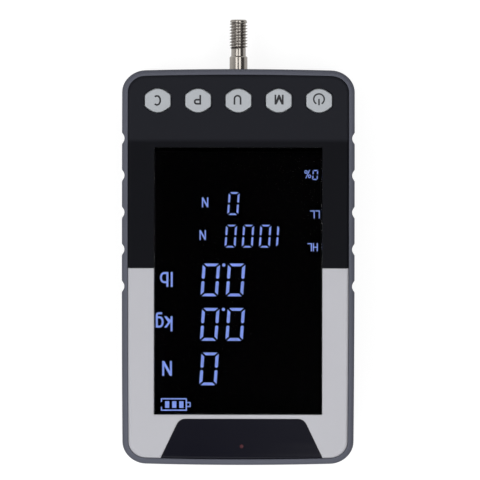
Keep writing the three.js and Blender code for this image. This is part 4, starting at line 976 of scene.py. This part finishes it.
# Threaded inserts: brass bushes with a crossed knurl, a flange behind the back wall and a thread in
# the bore, pressed into the rear cover where a stand or a clamp is screwed on.
brass = finish("brass", (184, 150, 78), 0.32, (1500, 0.004), (200, 0.08), Metallic=1.0)


def bush_profile(given, turn, flat_y):
    """The first half of the grid's rows goes up the outside, and the second comes down the bore."""
    there_and_back = maths("PINGPONG", maths("ADD", maths("MULTIPLY", flat_y, 2.0), 1.0), 1.0)
    height = maths("MULTIPLY", given["Height"], there_and_back)
    slant = maths("MULTIPLY", height, given["Knurl_Lean"])
    count = maths("MULTIPLY", turn, given["Knurls"])
    one_way, other_way = [maths("PINGPONG", maths(kind, count, slant), 0.5)
                          for kind in ("ADD", "SUBTRACT")]
    share = maths("SUBTRACT", 0.5, maths("MINIMUM", one_way, other_way))
    knurled = maths("SUBTRACT", given["Radius"], maths("MULTIPLY", share, given["Knurl_Depth"]))
    flanged = maths("GREATER_THAN", height, given["Flange_Start"])
    outer = chosen(flanged, knurled, given["Flange_Radius"])
    widest = maths("ADD", given["Bore_Radius"], given["Thread_Depth"])
    bore = thread_of(height, turn, given["Pitch"], widest, given["Bore_Radius"], (0, 1))
    inner = maths("COMPARE", flat_y, 0.25, 0.249)
    return height, chosen(inner, outer, bore)


bushes = wrapped_tree("Threaded insert", 97, 121, bush_profile, Radius=3.8, Flange_Radius=5.0,
                      Flange_Start=4.4, Bore_Radius=2.1, Height=6.4, Pitch=0.8, Knurls=24.0,
                      Knurl_Depth=0.5, Thread_Depth=0.3, Knurl_Lean=0.7)
for i, (x, y) in enumerate(INSERTS, 1):
    bush = grown_by(bushes, f"threaded_bush_{i}", Place=(x, y, 0.0), Material=brass)
    fitted(smoothed(bush, 40), brass, "insert_brass", f"mount_insert_{i}")


# Circuit board: green glass-fibre board with copper tracks under its varnish, and the parts that
# are soldered to it: chip with bent leads, shield can, buzzer, sockets, lamp and key switches.
def bevelled(low, high, bevel):
    """Profile of a block whose ends are bevelled."""
    return [(-bevel, low), (0, low + bevel), (0, high - bevel), (-bevel, high)]


def row_tree():
    tree, given = new_tree("Row of parts", {}, Count="Int", Step="Vector")
    line = output(tree, "GeometryNodeMeshLine", Count=given["Count"], Offset=given["Step"])
    return finished_tree(tree, given, output(tree, "GeometryNodeInstanceOnPoints", Points=line,
                                             Instance=given["Geometry"]))


def row_of(part, count, *step):
    """Repeats a part along a line."""
    return grown_by(rows, "row", part, Count=count, Step=tuple(s * MM for s in step), Material=zinc)


def together(name, parts):
    """One object from several closed bodies."""
    body = bmesh.new()
    for part in parts:
        body.from_mesh(part.data)
        bpy.data.objects.remove(part)
    mesh = bpy.data.meshes.new(name)
    body.to_mesh(mesh)
    body.free()
    return linked(name, mesh)


def lead(start, away, across):
    """Bent lead that leaves a chip's side and ends flat on the board."""
    rings = []
    for reach, height in ((-0.1, 23.25), (0.4, 23.25), (0.65, 23.88), (1.0, 23.88)):
        x, y = [s + a * reach for s, a in zip(start, away)]
        rings.append([(x + across[0] * s, y + across[1] * s, height + t)
                      for s, t in ((-0.16, -0.08), (0.16, -0.08), (0.16, 0.08), (-0.16, 0.08))])
    return loft("lead", rings)


def chip_leads(middle_y=-22, half=6, count=12, pitch=0.8):
    first = pitch * (count - 1) / 2
    sides = []
    for away in ((1, 0), (-1, 0), (0, 1), (0, -1)):
        across = (abs(away[1]), abs(away[0]))
        start = (half * away[0] - first * across[0], middle_y + half * away[1] - first * across[1])
        step = (pitch * across[0], pitch * across[1], 0)
        sides.append(row_of(lead(start, away, across), count, *step))
    return together("chip_leads", sides)


def shield_can():
    profile = [(-0.5, 21.5), (-0.2, 21.55), (0, 21.8), (0, 23), (-0.15, 23), (-0.15, BOARD_UNDER)]
    can = block((19, 31), (10.35, 26.35), profile, 0.8, "shield_can")
    hole = turned("hole", [(0.45, 21), (0.45, 22)], (21.4, 13.35, 0), 20)
    return shaped(can, [row_of(row_of(hole, 4, 2.4, 0, 0), 4, 0, 3.3, 0)])


def lead_socket(name, across, along):
    """Socket under the board, with its plug pushed in from below."""
    (west, east), south = across, along[0]
    housing = block(across, along, bevelled(20.4, BOARD_UNDER, 0.15), 0.25)
    slits = [block((x - 0.4, x + 0.4), (south - 1, south + 0.5), bevelled(20, 23, 0), 0.05)
             for x in (west + 1.75, east - 1.75)]
    plug_profile = [(by - 0.7, height) for by, height in bevelled(19, 20.6, 0.12)]
    return together(name, [shaped(housing, slits), block(across, along, plug_profile, 0.9)])


def small_lamp():
    dome = bow(0, 26.0, 0.6, 0.5, 0, 85.944, 6)
    base = block((-0.4, 2.8), (-60.1, -58.5), bevelled(BOARD_TOP, 26.1, 0.08), 0.15)
    return together("small_lamp", [base, turned("lens", [(0.6, 25.9), *dome], (*PIPE, 0), 24)])


rows = row_tree()
white = finish("white plastic", (226, 226, 222), 0.5, (1200, 0.004), (100, 0.03))
black = finish("black plastic", (28, 28, 30), 0.55, (1500, 0.01), (150, 0.08), 0.3)
board = finish("green board", (28, 92, 55), 0.4, (700, 0.01), (260, 0.12))
place = add(board.node_tree, "ShaderNodeTexCoord").outputs["Object"]
tracks = add(board.node_tree, "ShaderNodeTexBrick", Vector=place, Scale=30.0, Mortar_Size=0.011,
             Mortar_Smooth=0.1, Brick_Width=0.43, Row_Height=0.055)
recoloured(board, tracks.outputs["Fac"], (46, 118, 70))
chip = block((-6, 6), (-28, -16), [(-0.15, 22.6), (0.1, 23.2), (-0.1, 23.85)], 0.2, "chip_body")
shaped(chip, columns([(-4.8, -26.8)], (0.5, 22), (0.5, 22.75), sides=24))
copied("main_board", "circuit_board", board, "board_green")
fitted(smoothed(chip), black, "black_plastic", "processor_chip")
fitted(smoothed(chip_leads()), zinc, "zinc_steel")
fitted(smoothed(shield_can()), zinc, "zinc_steel", "adc_shield")
BUZZER = [(1.1, 20), (1.1, 18.8), (1.3, 18.6), (5.3, 18.6), (5.7, 18.8), (5.7, 19.6), (6, 19.6),
          (6, 22.8), (5.6, 22.8), (5.6, BOARD_UNDER)]
buzzer = smoothed(turned("buzzer_case", BUZZER, (-22, -30, 0), 48))
fitted(buzzer, black, "black_plastic", "buzzer")
fitted(smoothed(small_lamp()), white, "white_plastic", "charge_led")
for node, across, along in (("battery", (21.25, 28.75), (-15, -9)),
                            ("sensor", (-28.75, -21.25), (19.35, 25.35))):
    socket = smoothed(lead_socket(node + "_plug_and_socket", across, along))
    fitted(socket, white, "white_plastic", node + "_connector")
copied("charging_socket", "charging_socket_shell", zinc, "zinc_steel")
PLUNGER = [(1.35, 28.3), (1.5, 28.35), (1.6, 28.5), (1.6, 29.3), (1.35, 29.45), (1.35, 29.95),
           (1.2, 30.1)]
for name, x in KEYS:
    copied(name + "_switch", name + "_switch_case", black, "black_plastic", 0.15)
    plunger = smoothed(turned(name + "_switch_button", PLUNGER, (x, KEY_Y, 0), 32))
    fitted(plunger, white, "white_plastic", name + "_plunger", body=name + "_button")


# Display's carrier: a white light guide with a sunk face over its row of lamps, the foam ring that
# keeps dust off the glass and the amber film that joins the glass to the board.
def light_guide():
    guide = block((-28, 28), (-49, 40.75), bevelled(BOARD_TOP, 28.7, 0.2), 0.8, "light_guide")
    face = block((-26.4, 26.4), (-47.4, 38), bevelled(28.4, 29.5, 0), 0.6)
    lamp = block((-23.4, -21), (38.6, 39.8), bevelled(27.6, 29.5, 0))
    return shaped(guide, [face, row_of(lamp, 6, 8.88, 0, 0)])


foam = finish("black foam", (40, 40, 42), 0.95, (1500, 0.12), (300, 0.12), 0.1)
film = finish("amber film", (182, 120, 42), 0.35, (600, 0.006), (150, 0.08))
fitted(smoothed(light_guide()), white, "white_plastic", "lcd_backlight")
copied("dust_gasket", "dust_ring", foam, "foam")
copied("lcd_flex", "display_film", film, "amber_film")


# Force sensor: a milled aluminium cell bolted to the steel chassis plate, with the shaft's lock nut
# and the rubber seal that keeps dust out where the shaft leaves the case.
aluminium = finish("milled aluminium", (182, 185, 188), 0.38, (1200, 0.006), (100, 0.06), Metallic=1.0)
seal = finish("black rubber", (28, 28, 29), 0.8, (1800, 0.02), (200, 0.08), 0.25)
for node, material, slot, bevel, body in (
        ("load_cell", aluminium, "cell_aluminium", 0.3, "case"),
        ("chassis_plate", zinc, "zinc_steel", 0.2, "case"),
        ("anchor_bolt", zinc, "zinc_steel", 0.3, "case"),
        ("shaft_lock_nut", zinc, "zinc_steel", 0.3, "shaft"),
        ("shaft_seal", seal, "seal_rubber", 0.3, "case")):
    copied(node, node + "_body", material, slot, bevel, body)


# Battery: three cells side by side in a blue shrink sleeve, on a foam pad; its lead and the
# sensor's lead run to the board. The back label is plain foil.
def battery_sleeve(radius=5.5, spacing=12.5, middle=10.9, sag=0.55):
    """Rings along Y of a sleeve that sags between the cells and is drawn in at its ends."""
    ring = bow(spacing, middle, radius, radius, -90, 90, 17)
    ring += [(x, middle + radius - sag * math.sin(math.pi * x / spacing) ** 2)
             for x in spread(spacing - 0.3, 0.3 - spacing, 49)]
    ring += [(-x, 2 * middle - z) for x, z in ring]
    ends = [(0.80, 0.5), (0.88, 0.1), (0.93, 0), (0.98, 0.3), (1, 1.1)]
    levels = [(share, -51.9 + by) for share, by in ends]
    levels += [(share, -4.6 - by) for share, by in reversed(ends)]
    return loft("battery_sleeve", [[(x * share, y, middle + (z - middle) * share) for x, z in ring]
                                   for share, y in levels])


wrap = finish("blue battery wrap", (42, 94, 168), 0.35, (500, 0.02), (60, 0.06))
lead_cover = finish("lead cover", (34, 34, 36), 0.55, (1500, 0.006), (200, 0.06))
foil = finish("plain foil label", (196, 198, 200), 0.42, (1800, 0.004), (60, 0.03), Metallic=0.6)
fitted(smoothed(battery_sleeve()), wrap, "battery_wrap", "battery_pack")
pad = block((-15, 15), (-48.9, -7.6), bevelled(4.4, 5.4, 0.25), 2, "battery_foam")
fitted(smoothed(pad), foam, "foam", "battery_pad")
copied("battery_lead", "battery_cable", lead_cover, "lead_sheath")
copied("sensor_lead", "sensor_cable", lead_cover, "lead_sheath")
copied("back_label", "plain_label", foil, "label_foil", 0.05)
